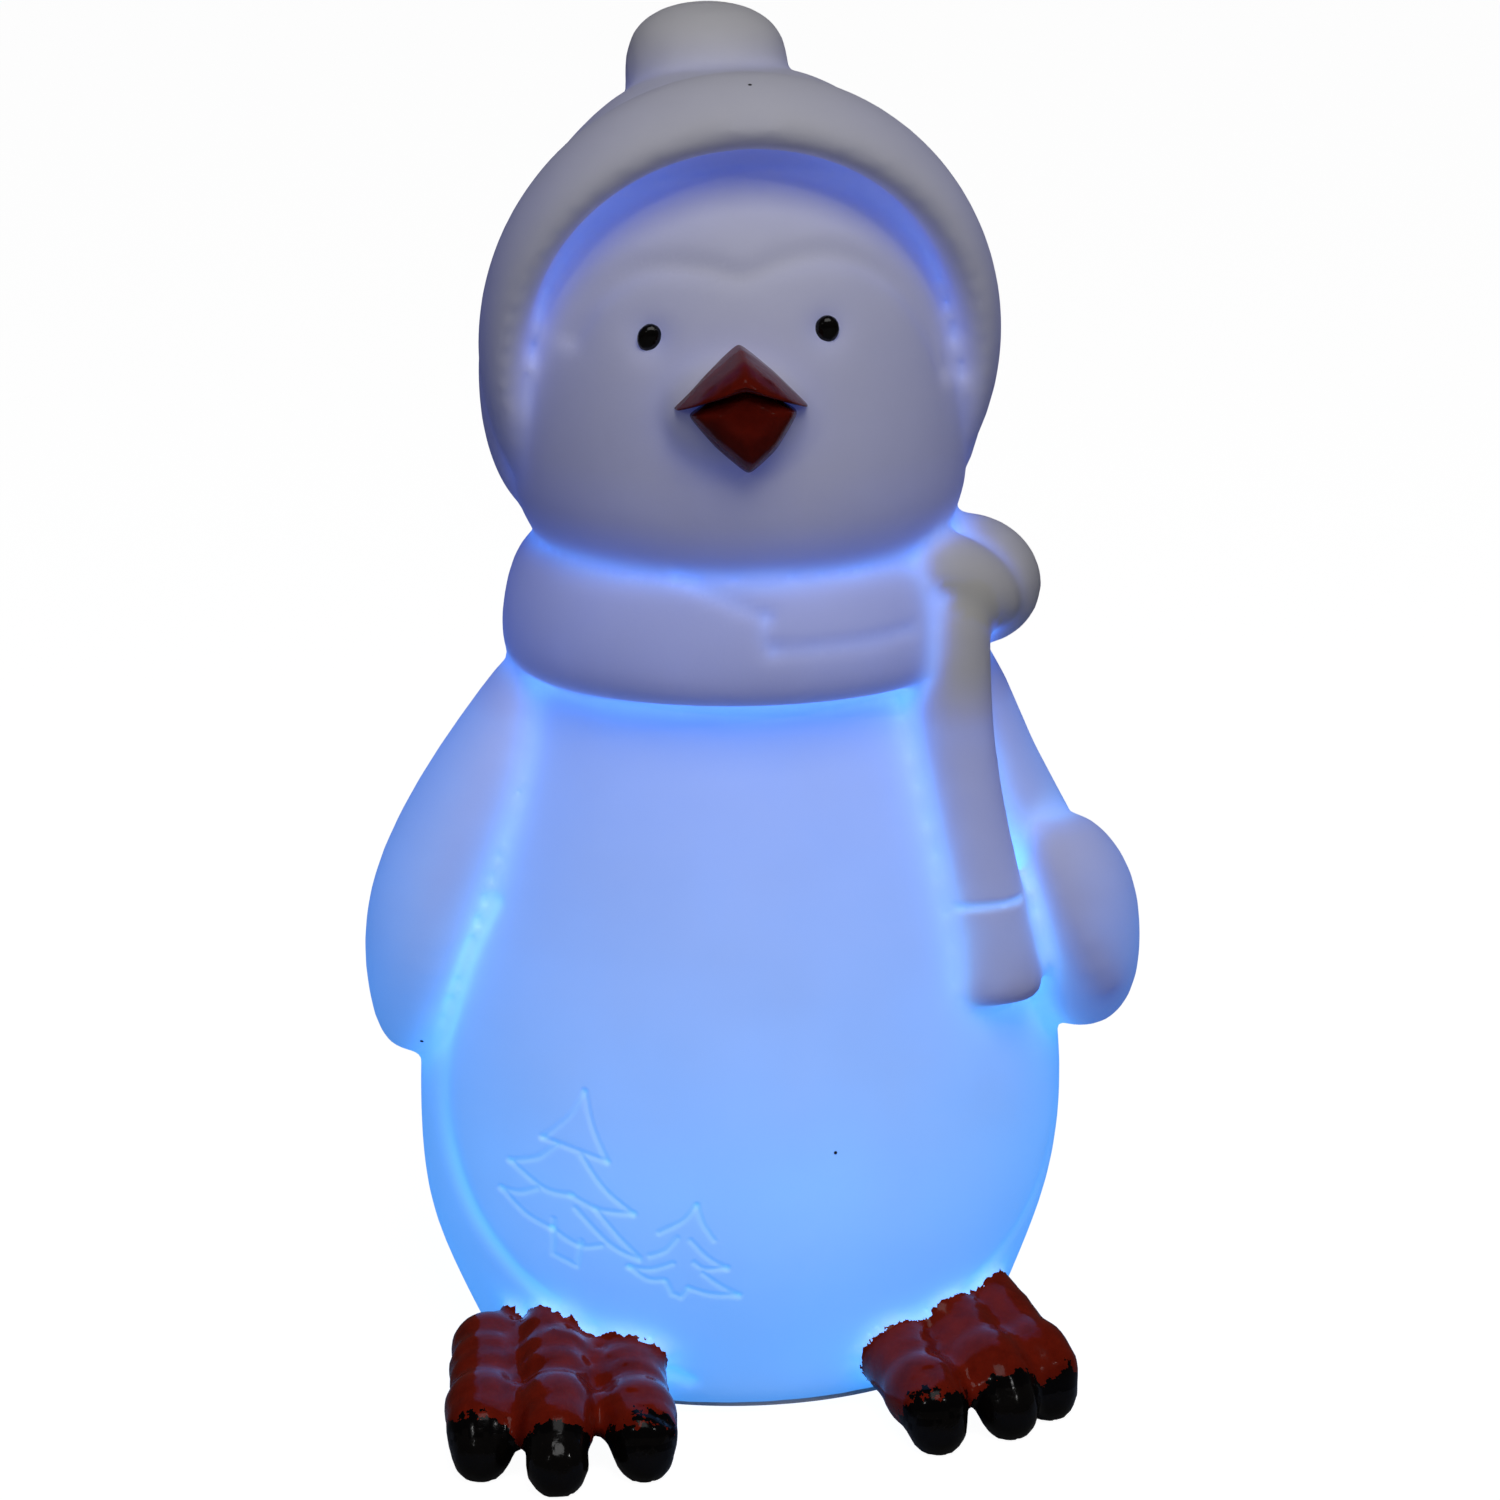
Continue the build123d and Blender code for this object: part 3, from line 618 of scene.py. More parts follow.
def near_lines(lines, reach, behind):
    """Which of the skin's faces are within reach of a line and in front of y = behind, in mm."""
    middles = np.array([face.center for face in skin.data.polygons])
    return (middles[:, 1] < behind * MM) & (
        np.min([distance_to_line(middles, line) for line in lines], axis=0) < reach)


select_only(skin)
bpy.ops.object.mode_set(mode="EDIT")
bpy.ops.mesh.select_mode(type="FACE")
bpy.ops.mesh.select_all(action="DESELECT")
bpy.ops.object.mode_set(mode="OBJECT")
cut_finer(near_lines(tree_lines, 1.1, -8), 3)
still_large = np.array([face.area for face in skin.data.polygons]) > 0.2 * MM * MM
cut_finer(near_lines((belly_line, belly_line_left, hem_line), 1.3, -2) & still_large, 1)
print("skin now has", len(skin.data.vertices), "vertices")

# %% [markdown]
# ## Press the lines
# Each line is pressed into the skin along its normals, and the wall gets thinner there by the line's gain.
# Sides that turn away from the front are left alone. A negative depth raises a fold.

# %% Press the lines
def press_line(line, depth, width, behind=-2.0, wall_gain=1.0):
    """Presses a line into the skin: depth and width in mm, for places in front of y = behind."""
    gap = distance_to_line(places, line)
    least_facing, full_facing = 0.15, 0.50
    facing = np.clip((-normals[:, 1] - least_facing) / (full_facing - least_facing), 0, 1)
    share = np.exp(-(gap / width) ** 2) * (places[:, 1] < behind * MM) * facing
    press = depth * share
    places[:] = places - normals * (press * MM)[:, None]
    wall[:] = wall - press * wall_gain


places = vertex_array(skin.data).copy()
normals = vertex_array(skin.data, "normal").copy()
wall = np.empty(len(places), np.float32)
skin.data.attributes["wall"].data.foreach_get("value", wall)
for line in tree_lines:
    press_line(line, 0.2, 0.33, -10, 1.1)
press_line(belly_line, 0.4, 0.9, -3, 3.6)
press_line(belly_line_left, 0.25, 0.8, -3, 1.6)
press_line(hem_line, 0.4, 0.45, -18, 3.0)
for line in fold_lines:
    press_line(line, 0.35, 0.9, -20, 0.8)
# The brow's negative gain thickens the wall in its groove, so the glow dims along the crease: a painted shade
# line.
press_line(brow_line, 0.8, 1.3, -12, -0.3)
press_line(hand_fold, -0.5, 2.2, -14, 1.4)
eye_places = {"right": (-11.6, 126.2), "left": (7.7, 126.9)}
for x, z in eye_places.values():
    press_line([(x - 0.1, z), (x + 0.1, z)], 0.75, 2.3, -15, 0.9)
set_positions(skin.data, places)
skin.data.attributes["wall"].data.foreach_set("value", wall)
print("lines pressed")

# %% [markdown]
# ## Glow
# The lamp sits low in the body, so the shell is brightest near the floor and dimmer in the head, where
# little light arrives. Thick walls pass less of it, and lumps that were cast solid the least. The result is
# kept on the vertices, as a share of full blue. Light sent through a real wall would take far longer to
# render and would be hard to steer.

# %% Glow
heights = [0, 12, 30, 50, 65, 80, 92, 100, 106, 112, 125, 140, 150, 160]
arriving = [0.90, 0.94, 0.92, 0.80, 0.72, 0.68, 0.45, 0.42, 0.21, 0.15, 0.16, 0.15, 0.11, 0.04]
solid_lumps = {"porcelain_scarf_tail": 3.0, "porcelain_scarf_loop": 2.6, "porcelain_left_wing": 2.0}
thin_limit, solid_reach = 0.3, 1.2 * MM
for name, factor in solid_lumps.items():
    surface, in_box = near_form(name, places, MM)
    for index in np.flatnonzero((wall > -thin_limit) & in_box):
        if surface.find_nearest(places[index])[3] < solid_reach:
            thick_share = min(1.0, (wall[index] + thin_limit) / 0.9)
            wall[index] = max(wall[index], wall[index] * factor) + thick_share * (factor - 1) * 0.3
light_there = np.interp(places[:, 2] / MM, heights, arriving)
loss_per_mm = np.interp(places[:, 2] / MM, [0, 80, 87, 98, 112, 150], [0.26, 0.36, 1.0, 0.90, 0.55, 0.60])
glow = np.clip(light_there * np.exp(-loss_per_mm * wall), 0, 1.3)
keep_on_vertices(skin.data, "glow", glow)
keep_on_vertices(skin.data, "skin_normal", vertex_array(skin.data, "normal"), "FLOAT_VECTOR")
print("glow from", round(float(glow.min()), 3), "to", round(float(glow.max()), 3))

# %% [markdown]
# ## Split the skin into its pieces
# Each face goes to the form that it lies nearest to, so that hat, scarf and wings can be picked apart again.

# %% Which form each face belongs to
middles = np.array([face.center for face in skin.data.polygons])
piece_names = list(forms)
too_far = 9.0
nearest = np.full((len(piece_names), len(middles)), too_far)
for row, name in enumerate(piece_names):
    surface, in_box = near_form(name, middles, 3 * MM)
    for index in np.flatnonzero(in_box):
        nearest[row, index] = surface.find_nearest(middles[index])[3]
belongs = np.argmin(nearest, axis=0)
for row, name in enumerate(piece_names):
    print(name, int((belongs == row).sum()), "faces")

# %% [markdown]
# ## Distance to a neighbour
# The paint on the feet stops in a ragged line just short of the body, and the black of the claws runs a
# little over the red. Both lines follow the distance to the neighbouring form, kept on the vertices.

# %% Distances that the paint follows
def distance_attribute(attribute_name, neighbours, limit):
    """Keeps each vertex's distance in mm to the nearest of the forms, up to a limit."""
    here = vertex_array(skin.data)
    gap = np.full(len(here), float(limit))
    top_of_feet = 22 * MM
    for name in neighbours:
        surface, in_box = near_form(name, here, limit * MM)
        for index in np.flatnonzero((here[:, 2] < top_of_feet) & in_box):
            found = surface.find_nearest(here[index])
            inside = (Vector(here[index]) - found[0]).dot(found[1]) < 0
            gap[index] = min(gap[index], (-1 if inside else 1) * found[3] / MM)
    keep_on_vertices(skin.data, attribute_name, gap)


distance_attribute("from_body", ["porcelain_body"], 6)
distance_attribute("from_claw", ["glazed_right_claws", "glazed_left_claws"], 6)
print("paint distances kept")

# %% [markdown]
# ## Cut out each piece and give it its wall
# A copy of the skin loses all faces but the piece's own. Solidify then adds the wall inwards, which closes
# the piece. The outer side keeps the whole skin's normals, so that no seam shows between pieces.

# %% Tools for the pieces
def cut_out(name, unwanted):
    """A copy of the skin without its unwanted faces."""
    select_only(skin)
    bpy.ops.object.duplicate()
    piece = bpy.context.object
    piece.name = name
    piece.data.polygons.foreach_set("select", unwanted)
    bpy.ops.object.mode_set(mode="EDIT")
    bpy.ops.mesh.delete(type="FACE")
    bpy.ops.mesh.select_all(action="SELECT")
    bpy.ops.mesh.delete_loose()
    bpy.ops.object.mode_set(mode="OBJECT")
    return piece


def give_wall(piece, thickness):
    """A wall inwards from the active piece's skin."""
    wall_modifier = piece.modifiers.new("wall", "SOLIDIFY")
    wall_modifier.thickness = thickness
    wall_modifier.offset = -1
    bpy.ops.object.modifier_apply(modifier=wall_modifier.name)
    bpy.ops.object.shade_smooth()


def keep_skin_normals(piece):
    """The outer side takes the normals that it had in the whole skin."""
    own = vertex_array(piece.data, "normal").copy()
    kept = np.empty(len(own) * 3, np.float32)
    piece.data.attributes["skin_normal"].data.foreach_get("vector", kept)
    kept = kept.reshape(-1, 3)
    outer = np.einsum("ij,ij->i", own, kept) > 0
    piece.data.normals_split_custom_set_from_vertices(np.where(outer[:, None], kept, own))
    piece.data.attributes.remove(piece.data.attributes["skin_normal"])


print("piece tools are ready")

# %% Pieces of the skin
usual_wall, body_wall = 3.2 * MM, 1.0 * MM
open_base_height, open_base_radius = 0.35 * MM, 24.7 * MM
under_the_base = (middles[:, 2] < open_base_height) & (
    np.hypot(middles[:, 0], middles[:, 1]) < open_base_radius)
pieces = {}
for row, name in enumerate(piece_names):
    is_body = name == "porcelain_body"
    piece = cut_out(name, (belongs != row) | under_the_base if is_body else belongs != row)
    give_wall(piece, body_wall if is_body else usual_wall)
    keep_skin_normals(piece)
    pieces[name] = piece
    print(name, len(piece.data.polygons), "faces")
bpy.data.objects.remove(skin)
for form in forms.values():
    bpy.data.objects.remove(form)

# %% [markdown]
# ## Base ring
# Underneath, the floor of the casting is a flat ring with a shallow recess for the light module's flange
# and a wider hole through it. A circle is extruded round the ring's section and bridged to itself.

# %% Base ring
recess_radius, recess_depth, bore_radius, floor_top, ring_bottom = 24.48, 3.6, 22.18, 7.6, 1.0
bpy.ops.object.select_all(action="DESELECT")
bpy.ops.mesh.primitive_circle_add(vertices=128, radius=recess_radius * MM, location=(0, 0, ring_bottom * MM))
base_ring = bpy.context.object
base_ring.name = "porcelain_base_ring"
bpy.ops.object.transform_apply(location=True)
bpy.ops.object.mode_set(mode="EDIT")
bpy.ops.mesh.select_mode(type="VERT")
bpy.ops.mesh.select_all(action="SELECT")
outer_wide, outer_deep = 27.9, 24.6
steps = [((0, 0, recess_depth - ring_bottom), (1, 1)), ((0, 0, 0), (bore_radius / recess_radius,) * 2),
         ((0, 0, floor_top - recess_depth), (1, 1)),
         ((0, 0, 0), (outer_wide / bore_radius, outer_deep / bore_radius)),
         ((0, 0, ring_bottom - floor_top), (1, 1))]
for (dx, dy, dz), (wide, deep) in steps:
    bpy.ops.mesh.extrude_region_move(TRANSFORM_OT_translate={"value": (dx * MM, dy * MM, dz * MM)})
    bpy.ops.transform.resize(value=(wide, deep, 1), center_override=(0, 0, 0))
bpy.ops.mesh.select_all(action="DESELECT")
bpy.ops.object.mode_set(mode="OBJECT")
for edge in base_ring.data.edges:
    ends = [base_ring.data.vertices[index].co.z for index in edge.vertices]
    edge.select = max(ends) < (ring_bottom + 0.1) * MM and len(set(round(value, 6) for value in ends)) == 1
bpy.ops.object.mode_set(mode="EDIT")
bpy.ops.mesh.select_mode(type="EDGE")
bpy.ops.mesh.bridge_edge_loops()
bpy.ops.mesh.select_all(action="SELECT")
bpy.ops.mesh.normals_make_consistent(inside=False)
bpy.ops.object.mode_set(mode="OBJECT")
edge_round = base_ring.modifiers.new("worn edges", "BEVEL")
edge_round.width = 0.3 * MM
edge_round.segments = 2
edge_round.limit_method = "ANGLE"
bpy.ops.object.modifier_apply(modifier=edge_round.name)
bpy.ops.object.shade_smooth_by_angle(angle=math.radians(40))
pieces["porcelain_base_ring"] = base_ring
print("base ring", len(base_ring.data.polygons), "faces")

# %% [markdown]
# ## Beak
# Two painted halves. The upper one is a small roof with a ridge down its middle, and the lower one hangs
# below it like a diamond. Each starts as a four-sided face that is extruded forwards and drawn in.

# %% Beak
def beak_form(name, outline, fronts):
    """A beak half: an outline of (x, z) in mm at its back, drawn in towards (share, x, z, y) fronts."""
    bpy.ops.object.select_all(action="DESELECT")
    bpy.ops.mesh.primitive_circle_add(vertices=len(outline), radius=MM, fill_type="NGON",
                                      rotation=(math.radians(90), 0, 0))
    half = bpy.context.object
    half.name = name
    bpy.ops.object.transform_apply()
    back_y = -27.0
    middle_x = sum(x for x, _ in outline) / len(outline)
    middle_z = sum(z for _, z in outline) / len(outline)
    for vertex, (x, z) in zip(half.data.vertices, outline):
        vertex.co = Vector((x, back_y, z)) * MM
    bpy.ops.object.mode_set(mode="EDIT")
    bpy.ops.mesh.select_all(action="SELECT")
    last = (1.0, middle_x, middle_z, back_y)
    for share, x, z, y in fronts:
        bpy.ops.mesh.extrude_region_move(TRANSFORM_OT_translate={
            "value": ((x - last[1]) * MM, (y - last[3]) * MM, (z - last[2]) * MM)})
        bpy.ops.transform.resize(value=(share / last[0],) * 3,
                                 center_override=(x * MM, y * MM, z * MM))
        last = (share, x, z, y)
    bpy.ops.mesh.select_all(action="SELECT")
    bpy.ops.mesh.normals_make_consistent(inside=False)
    bpy.ops.mesh.bevel(offset=0.7 * MM, segments=2, affect="EDGES")
    bpy.ops.object.mode_set(mode="OBJECT")
    soften(half, 2)
    bpy.ops.object.shade_smooth()
    return half


beak_rows = {
    "upper": ([(-10.0, 118.9), (-6.2, 122.9), (-2.2, 126.2), (1.8, 122.9), (5.7, 118.9), (-2.2, 121.4)],
              [(0.97, -2.2, 121.8, -31.0), (0.70, -2.3, 122.2, -34.8), (0.32, -2.5, 122.4, -37.6)]),
    "lower": ([(-8.3, 118.6), (-2.2, 122.6), (4.3, 118.8), (1.6, 114.4), (-1.5, 111.6), (-5.2, 114.9)],
              [(0.98, -2.0, 117.0, -31.8), (0.84, -2.0, 117.6, -34.4), (0.50, -2.1, 118.4, -35.8)]),
}
for half_name, (outline, fronts) in beak_rows.items():
    pieces[f"painted_{half_name}_beak"] = beak_form(f"painted_{half_name}_beak", outline, fronts)
print("beak halves", [len(pieces[name].data.polygons) for name in pieces if "beak" in name])

# %% [markdown]
# ## Eyes
# Two drops of black glaze, each set in its own dimple and a little taller than it is wide. Their vertices
# are nudged a little, because a drop set by brush is never quite round.

# %% Eyes
first_y = {"right": -24.4, "left": -25.2}
sunk = 0.15 * MM
for side, (x, z) in eye_places.items():
    eye = press_blob(f"black_{side}_eye", (x, first_y[side], z), (1.4, 1.0, 1.65), (14, 8, 0))
    bpy.ops.object.mode_set(mode="EDIT")
    bpy.ops.mesh.select_all(action="SELECT")
    bpy.ops.transform.vertex_random(offset=0.04 * MM, uniform=0.5, seed=3)
    bpy.ops.object.mode_set(mode="OBJECT")
    soften(eye, 1)
    bpy.ops.object.shade_smooth()
    surface = BVHTree.FromObject(pieces["porcelain_head"], bpy.context.evaluated_depsgraph_get())
    found = surface.ray_cast(Vector((x * MM, -60 * MM, z * MM)), Vector((0, 1, 0)))[0]
    eye_shift = found.y - sunk - first_y[side] * MM
    eye.data.transform(Matrix.Translation((0, eye_shift, 0)))
    pieces[f"black_{side}_eye"] = eye
    print(side, "eye sits at y", round(found.y / MM, 2))

# %% [markdown]
# ## Bisque porcelain, lit from inside
# Unglazed porcelain fired once: matt, slightly chalky, with a very fine grain, faint clouding from the mould
# and a few dark specks of kiln dust. The grain is drawn coarser than it is, so that it shows. Its glow is the
# share kept on the vertices, greener towards the lamp and more violet in the head, with soft cloudiness
# where the cast wall varies.

# %% Bisque porcelain
def bisque_nodes(tree, shader):
    """Adds the bisque colour, grain and glow to a material: returns its colour and glow sockets."""
    place = add_node(tree, "ShaderNodeTexCoord").outputs["Object"]
    clouds = add_node(tree, "ShaderNodeTexNoise", {}, {
        "Vector": place, "Scale": per_mm(14), "Detail": 3.0, "Roughness": 0.5})
    body_colour = add_node(tree, "ShaderNodeMix", {"data_type": "RGBA"}, {
        "Factor": clouds.outputs["Fac"], 6: linear("#E2E0DD"), 7: linear("#F1EFED")})
    specks = add_node(tree, "ShaderNodeTexVoronoi", {}, {
        "Vector": place, "Scale": per_mm(9.0), "Randomness": 1.0})
    speck_mask = add_node(tree, "ShaderNodeMapRange", {"interpolation_type": "SMOOTHSTEP"}, {
        "Value": specks.outputs["Distance"], "From Min": 0.020, "From Max": 0.032})
    rare = add_node(tree, "ShaderNodeTexNoise", {}, {"Vector": place, "Scale": per_mm(23), "Detail": 0.0})
    rare_mask = add_node(tree, "ShaderNodeMapRange", {}, {
        "Value": rare.outputs["Fac"], "From Min": 0.57, "From Max": 0.60})
    speck_free = add_node(tree, "ShaderNodeMath", {"operation": "SUBTRACT", "use_clamp": True}, {
        0: 1.0, 1: add_node(tree, "ShaderNodeMath", {"operation": "MULTIPLY"}, {
            0: add_node(tree, "ShaderNodeMath", {"operation": "SUBTRACT"}, {
                0: 1.0, 1: speck_mask.outputs[0]}).outputs[0], 1: rare_mask.outputs[0]}).outputs[0]})
    colour = add_node(tree, "ShaderNodeMix", {"data_type": "RGBA"}, {
        "Factor": speck_free.outputs[0], 6: linear("#3A3633"), 7: body_colour.outputs[2]})
    grain = add_node(tree, "ShaderNodeTexNoise", {}, {
        "Vector": place, "Scale": per_mm(0.45), "Detail": 2.0, "Roughness": 0.6})
    bump = add_node(tree, "ShaderNodeBump", {}, {
        "Strength": 0.22, "Distance": 0.05 * MM, "Height": grain.outputs["Fac"]})
    tree.links.new(bump.outputs[0], shader.inputs["Normal"])

    kept_glow = add_node(tree, "ShaderNodeAttribute", {"attribute_name": "glow"})
    casting = add_node(tree, "ShaderNodeTexNoise", {}, {
        "Vector": place, "Scale": per_mm(20), "Detail": 2.0, "Roughness": 0.55})
    cloudiness = add_node(tree, "ShaderNodeMapRange", {}, {
        "Value": casting.outputs["Fac"], "From Min": 0.3, "From Max": 0.7, "To Min": 0.94, "To Max": 1.06})
    glow_share = add_node(tree, "ShaderNodeMath", {"operation": "MULTIPLY"}, {
        0: kept_glow.outputs["Fac"], 1: cloudiness.outputs[0]})
    clean_glow = add_node(tree, "ShaderNodeMath", {"operation": "MULTIPLY"}, {
        0: glow_share.outputs[0], 1: speck_free.outputs[0]})
    height = add_node(tree, "ShaderNodeSeparateXYZ", {}, {0: place}).outputs["Z"]
    high_share = add_node(tree, "ShaderNodeMapRange", {}, {
        "Value": height, "From Min": 0.030, "From Max": 0.095})
    hue = add_node(tree, "ShaderNodeMix", {"data_type": "RGBA"}, {
        "Factor": high_share.outputs[0], 6: linear("#3F9CFF"), 7: linear("#4580FF")})
    dim_share = add_node(tree, "ShaderNodeMapRange", {}, {
        "Value": kept_glow.outputs["Fac"], "From Min": 0.15, "From Max": 0.6})
    hue = add_node(tree, "ShaderNodeMix", {"data_type": "RGBA"}, {
        "Factor": dim_share.outputs[0], 6: linear("#3F65FF"), 7: hue.outputs[2]})
    glow_colour = add_node(tree, "ShaderNodeVectorMath", {"operation": "SCALE"}, {
        0: hue.outputs[2], "Scale": clean_glow.outputs[0]})
    return colour.outputs[2], glow_colour.outputs[0], place


bisque, tree, shader = new_material("bisque porcelain, unglazed")
bisque_colour, bisque_glow, _ = bisque_nodes(tree, shader)
tree.links.new(bisque_colour, shader.inputs["Base Color"])
tree.links.new(bisque_glow, shader.inputs["Emission Color"])
shader.inputs["Emission Strength"].default_value = 1.0
shader.inputs["Roughness"].default_value = 0.78
shader.inputs["IOR"].default_value = 1.5
shader.inputs["Specular IOR Level"].default_value = 0.25
print("bisque nodes", len(tree.nodes))

# %% [markdown]
# ## Painted feet: red-brown glaze over bisque
# Brushed on by hand and fired glossy, so it is uneven in colour and wavy where it shines. It ends in a
# ragged line below the body, where the bisque stays bare, and the black of the claws runs up unevenly.

# %% Foot glaze
foot_glaze, tree, shader = new_material("red-brown glaze, brushed")
bisque_colour, bisque_glow, place = bisque_nodes(tree, shader)
for link in list(shader.inputs["Normal"].links):
    tree.links.remove(link)
ragged = add_node(tree, "ShaderNodeTexNoise", {}, {
    "Vector": place, "Scale": per_mm(1.6), "Detail": 3.0, "Roughness": 0.65})
brushed = add_node(tree, "ShaderNodeTexNoise", {}, {
    "Vector": place, "Scale": per_mm(2.6), "Detail": 4.0, "Roughness": 0.6})
red = add_node(tree, "ShaderNodeMix", {"data_type": "RGBA"}, {
    "Factor": brushed.outputs["Fac"], 6: linear("#5E1007"), 7: linear("#A82C15")})
claw_gap = add_node(tree, "ShaderNodeAttribute", {"attribute_name": "from_claw"})
claw_line = add_node(tree, "ShaderNodeMath", {"operation": "MULTIPLY_ADD"}, {
    0: ragged.outputs["Fac"], 1: 2.4, 2: -0.45})
black_share = add_node(tree, "ShaderNodeMath", {"operation": "LESS_THAN"}, {
    0: claw_gap.outputs["Fac"], 1: claw_line.outputs[0]})
paint = add_node(tree, "ShaderNodeMix", {"data_type": "RGBA"}, {
    "Factor": black_share.outputs[0], 6: red.outputs[2], 7: linear("#0B0909")})
wavy = add_node(tree, "ShaderNodeBump", {}, {
    "Strength": 0.5, "Distance": 0.07 * MM, "Height": brushed.outputs["Fac"]})
tree.links.new(wavy.outputs[0], shader.inputs["Normal"])
shader.inputs["IOR"].default_value = 1.5
shader.inputs["Specular IOR Level"].default_value = 0.12
shader.inputs["Emission Strength"].default_value = 1.0
body_gap = add_node(tree, "ShaderNodeAttribute", {"attribute_name": "from_body"})
bare_line = add_node(tree, "ShaderNodeMath", {"operation": "MULTIPLY_ADD"}, {
    0: ragged.outputs["Fac"], 1: 2.6, 2: -0.5})
bare = add_node(tree, "ShaderNodeMath", {"operation": "LESS_THAN"}, {
    0: body_gap.outputs["Fac"], 1: bare_line.outputs[0]})
colour = add_node(tree, "ShaderNodeMix", {"data_type": "RGBA"}, {
    "Factor": bare.outputs[0], 6: paint.outputs[2], 7: bisque_colour})
glow_here = add_node(tree, "ShaderNodeMix", {"data_type": "RGBA"}, {
    "Factor": bare.outputs[0], 6: linear("#000000"), 7: bisque_glow})
rough = add_node(tree, "ShaderNodeMapRange", {}, {
    "Value": bare.outputs[0], "To Min": 0.14, "To Max": 0.78})
tree.links.new(colour.outputs[2], shader.inputs["Base Color"])
tree.links.new(glow_here.outputs[2], shader.inputs["Emission Color"])
tree.links.new(rough.outputs[0], shader.inputs["Roughness"])
print("foot glaze nodes", len(tree.nodes))

# %% [markdown]
# ## Beak and claws: red and black glaze
# The same hand painting in smaller places: the red lies in streaks, and the black is dipped, thick and
# almost without colour of its own.

# %% Red glaze on the beak
beak_glaze, tree, shader = new_material("red glaze on the beak")
place = add_node(tree, "ShaderNodeTexCoord").outputs["Object"]
streaks = add_node(tree, "ShaderNodeTexNoise", {}, {"Vector": place, "Scale": per_mm(2.0), "Detail": 4.0})
red = add_node(tree, "ShaderNodeMix", {"data_type": "RGBA"}, {
    "Factor": streaks.outputs["Fac"], 6: linear("#4E0D06"), 7: linear("#852011")})
tree.links.new(red.outputs[2], shader.inputs["Base Color"])
shader.inputs["Roughness"].default_value = 0.16
shader.inputs["Specular IOR Level"].default_value = 0.1
pooled = add_node(tree, "ShaderNodeBump", {}, {
    "Strength": 0.4, "Distance": 0.2 * MM, "Height": streaks.outputs["Fac"]})
tree.links.new(pooled.outputs[0], shader.inputs["Normal"])
print("beak glaze nodes", len(tree.nodes))

# %% Black glaze
black_glaze, tree, shader = new_material("black glaze, dipped")
place = add_node(tree, "ShaderNodeTexCoord").outputs["Object"]
runs = add_node(tree, "ShaderNodeTexNoise", {}, {"Vector": place, "Scale": per_mm(1.2), "Detail": 3.0})
black = add_node(tree, "ShaderNodeMix", {"data_type": "RGBA"}, {
    "Factor": runs.outputs["Fac"], 6: linear("#060505"), 7: linear("#15110F")})
tree.links.new(black.outputs[2], shader.inputs["Base Color"])
shader.inputs["Roughness"].default_value = 0.13
shader.inputs["Specular IOR Level"].default_value = 0.3
dents = add_node(tree, "ShaderNodeBump", {}, {
    "Strength": 0.5, "Distance": 0.15 * MM, "Height": runs.outputs["Fac"]})
tree.links.new(dents.outputs[0], shader.inputs["Normal"])
print("black glaze nodes", len(tree.nodes))

# %% [markdown]
# ## Put the pieces on the frame
# Each piece rides on the figure, stands for its node, and takes the finish that goes with the
# last word of its name. All others are bare bisque.

# %% Pieces on the frame
stands_for = {
    "porcelain_body": "body_shell", "porcelain_base_ring": "body_shell", "porcelain_head": "head_shell",
    "porcelain_hat": "hat", "porcelain_pompom": "pompom", "porcelain_scarf_band": "scarf_wrap",
    "porcelain_scarf_loop": "scarf_loop", "porcelain_scarf_tail": "scarf_tail",
    "porcelain_right_wing": "right_wing", "porcelain_left_wing": "left_wing",
    "glazed_right_foot": "right_foot", "glazed_left_foot": "left_foot",
    "glazed_right_claws": "right_claws", "glazed_left_claws": "left_claws",
    "painted_upper_beak": "upper_beak", "painted_lower_beak": "lower_beak",
    "black_right_eye": "right_eye", "black_left_eye": "left_eye",
}
finish_and_slot = {
    "foot": (foot_glaze, "red_glaze"), "claws": (black_glaze, "black_glaze"),
    "beak": (beak_glaze, "red_glaze"), "eye": (black_glaze, "black_glaze"),
}
for name, node in stands_for.items():
    piece = pieces[name]
    finish, slot = finish_and_slot.get(name.split("_")[-1], (bisque, "bisque_porcelain"))
    piece.data.materials.clear()
    piece.data.materials.append(finish)
    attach(piece, "figure")
    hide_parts(node)
print("pieces", len(stands_for))

# %% [markdown]
# ## Light module
# The module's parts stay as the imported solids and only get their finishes. Plastics carry the fine spark
# texture of a moulding tool, metals a plated or drawn look, and the lens is lit.

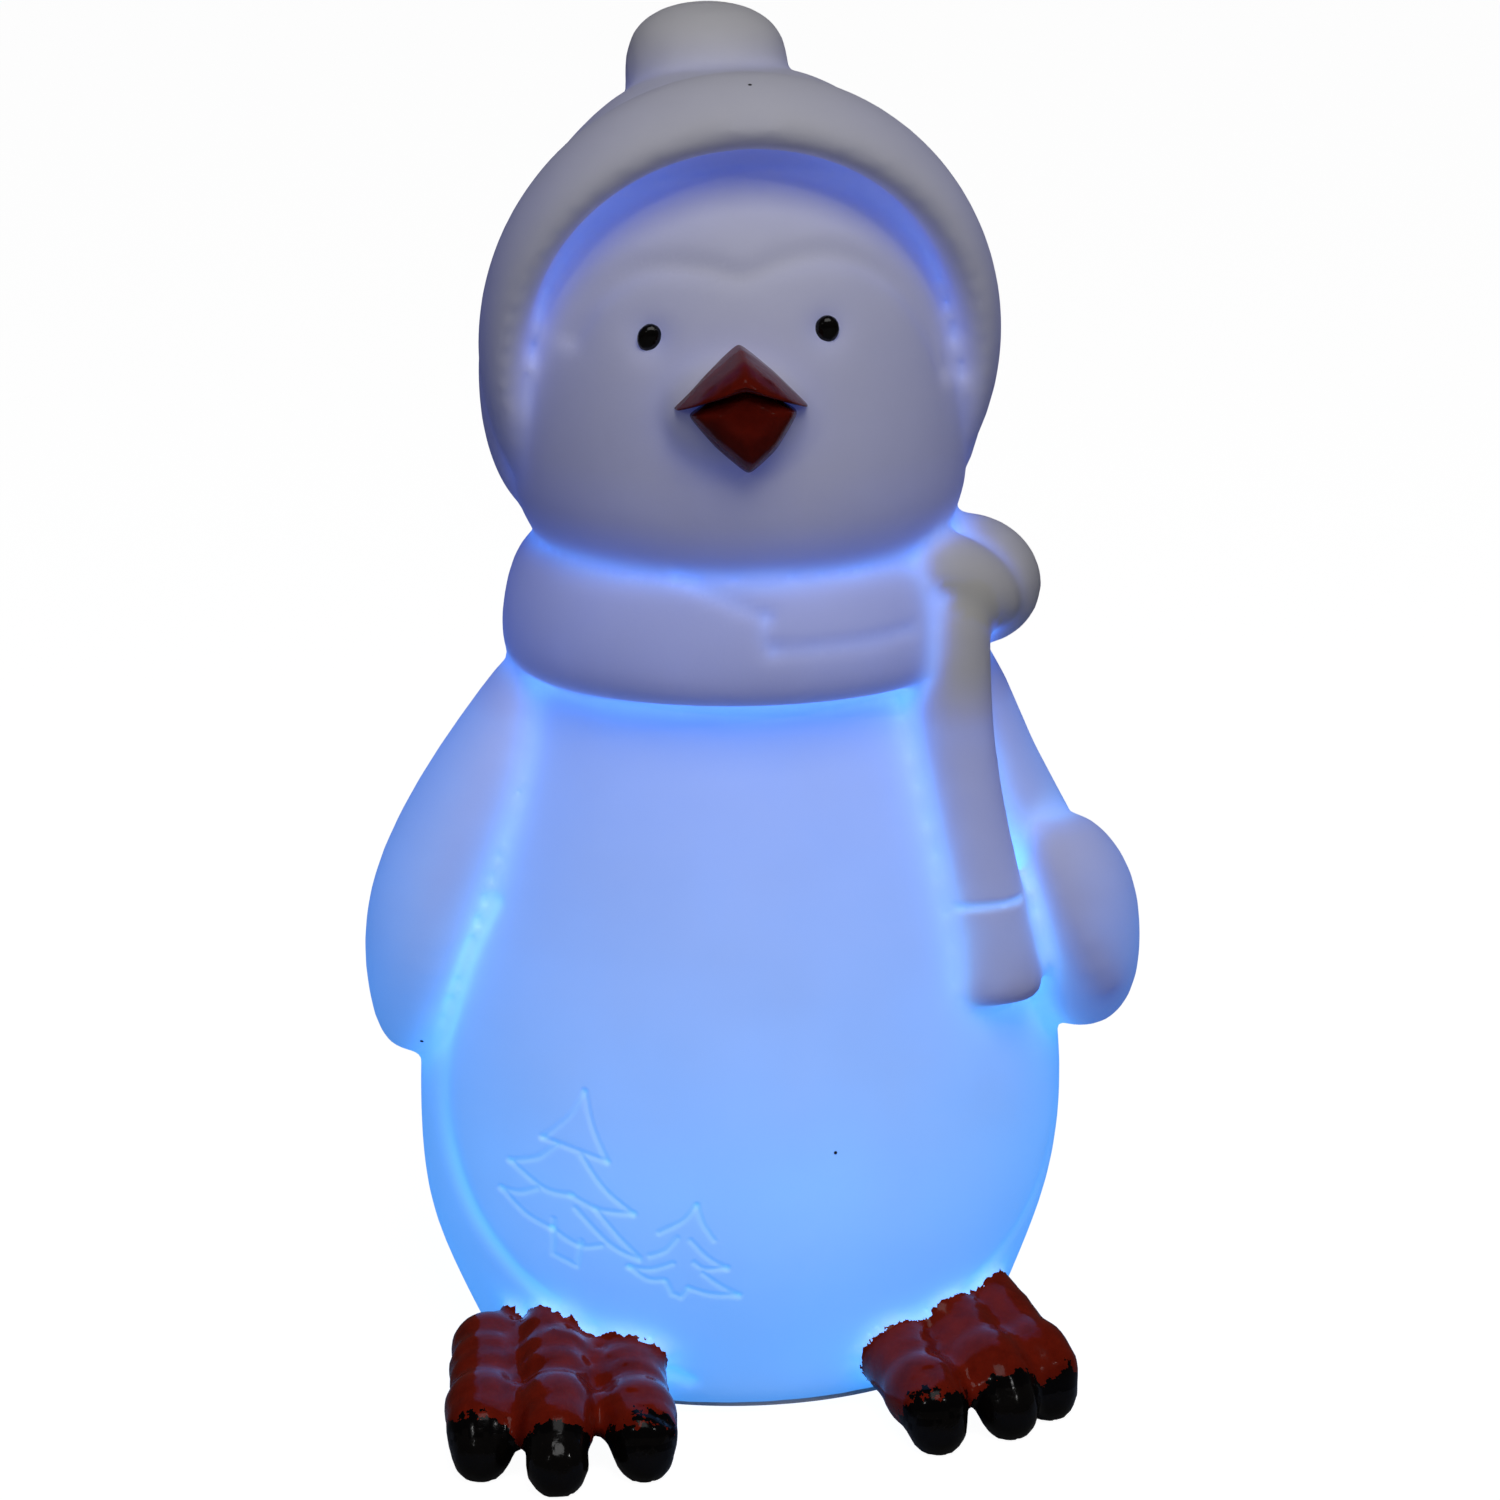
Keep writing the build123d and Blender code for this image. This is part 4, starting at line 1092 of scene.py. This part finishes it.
# %% Finishes of the module
def moulded(name, dark, pale_colour, roughness, grain_mm, relief_mm, metallic=0.0):
    """A finish with a fine grain between two close colours."""
    material, tree, shader = new_material(name)
    place = add_node(tree, "ShaderNodeTexCoord").outputs["Object"]
    grain = add_node(tree, "ShaderNodeTexNoise", {}, {
        "Vector": place, "Scale": per_mm(grain_mm), "Detail": 3.0, "Roughness": 0.6})
    broad = add_node(tree, "ShaderNodeTexNoise", {}, {
        "Vector": place, "Scale": per_mm(9), "Detail": 2.0})
    colour = add_node(tree, "ShaderNodeMix", {"data_type": "RGBA"}, {
        "Factor": broad.outputs["Fac"], 6: linear(dark), 7: linear(pale_colour)})
    relief = add_node(tree, "ShaderNodeBump", {}, {
        "Strength": 0.6, "Distance": relief_mm * MM, "Height": grain.outputs["Fac"]})
    uneven = add_node(tree, "ShaderNodeMapRange", {}, {
        "Value": grain.outputs["Fac"], "To Min": roughness * 0.8, "To Max": roughness * 1.2})
    tree.links.new(colour.outputs[2], shader.inputs["Base Color"])
    tree.links.new(relief.outputs[0], shader.inputs["Normal"])
    tree.links.new(uneven.outputs[0], shader.inputs["Roughness"])
    shader.inputs["Metallic"].default_value = metallic
    return material


spark_grain_mm = 0.4
white_abs = moulded("white ABS, spark-textured moulding", "#DAD9D4", "#E8E7E3", 0.5, spark_grain_mm, 0.03)
spring_brass = moulded("nickel-plated spring brass", "#C2B489", "#D4C79D", 0.3, 0.4, 0.008, 1.0)
epoxy = moulded("blue-lit clear epoxy, cast", "#9FC4FF", "#C6DCFF", 0.12, 3.0, 0.005)
lens_shader = epoxy.node_tree.nodes["Principled BSDF"]
lens_shader.inputs["Emission Color"].default_value = linear("#599EFF")
lens_shader.inputs["Emission Strength"].default_value = 6.0
finishes = {
    "module_housing": white_abs, "battery_cap": white_abs,
    "silicone_ring": moulded("milky silicone, moulded", "#C9CDD0", "#DDE0E2", 0.35, 1.2, 0.02),
    "circuit_board": moulded("green solder mask over glass epoxy", "#0F4A2A", "#176338", 0.32, 0.9, 0.02),
    "light_deck": moulded("pale ABS, polished moulding", "#CFCFCB", "#DCDCD8", 0.28, 2.0, 0.01),
    "deck_screws": moulded("zinc-plated steel, pressed", "#A9ABAD", "#C5C7C9", 0.34, 0.5, 0.01, 1.0),
    "led_lens": epoxy,
    "led_leads": moulded("tinned copper wire, drawn", "#B4B5B6", "#CFCFCE", 0.3, 0.6, 0.005, 1.0),
    "coin_cell": moulded("nickel-plated cell case, pressed", "#B7B4AE", "#CDCAC3", 0.22, 0.3, 0.008, 1.0),
    "positive_contact": spring_brass, "negative_contact": spring_brass,
    "switch_body": moulded("black nylon, moulded", "#141415", "#1D1D1F", 0.45, spark_grain_mm, 0.02),
    "switch_knob": moulded("black nylon knob, ribbed moulding", "#19191A", "#242426", 0.5, 0.6, 0.04),
}
for node, finish in finishes.items():
    mesh = frame["nodes"][node].data
    mesh.materials.clear()
    mesh.materials.append(finish)
print("module finishes", len(finishes))
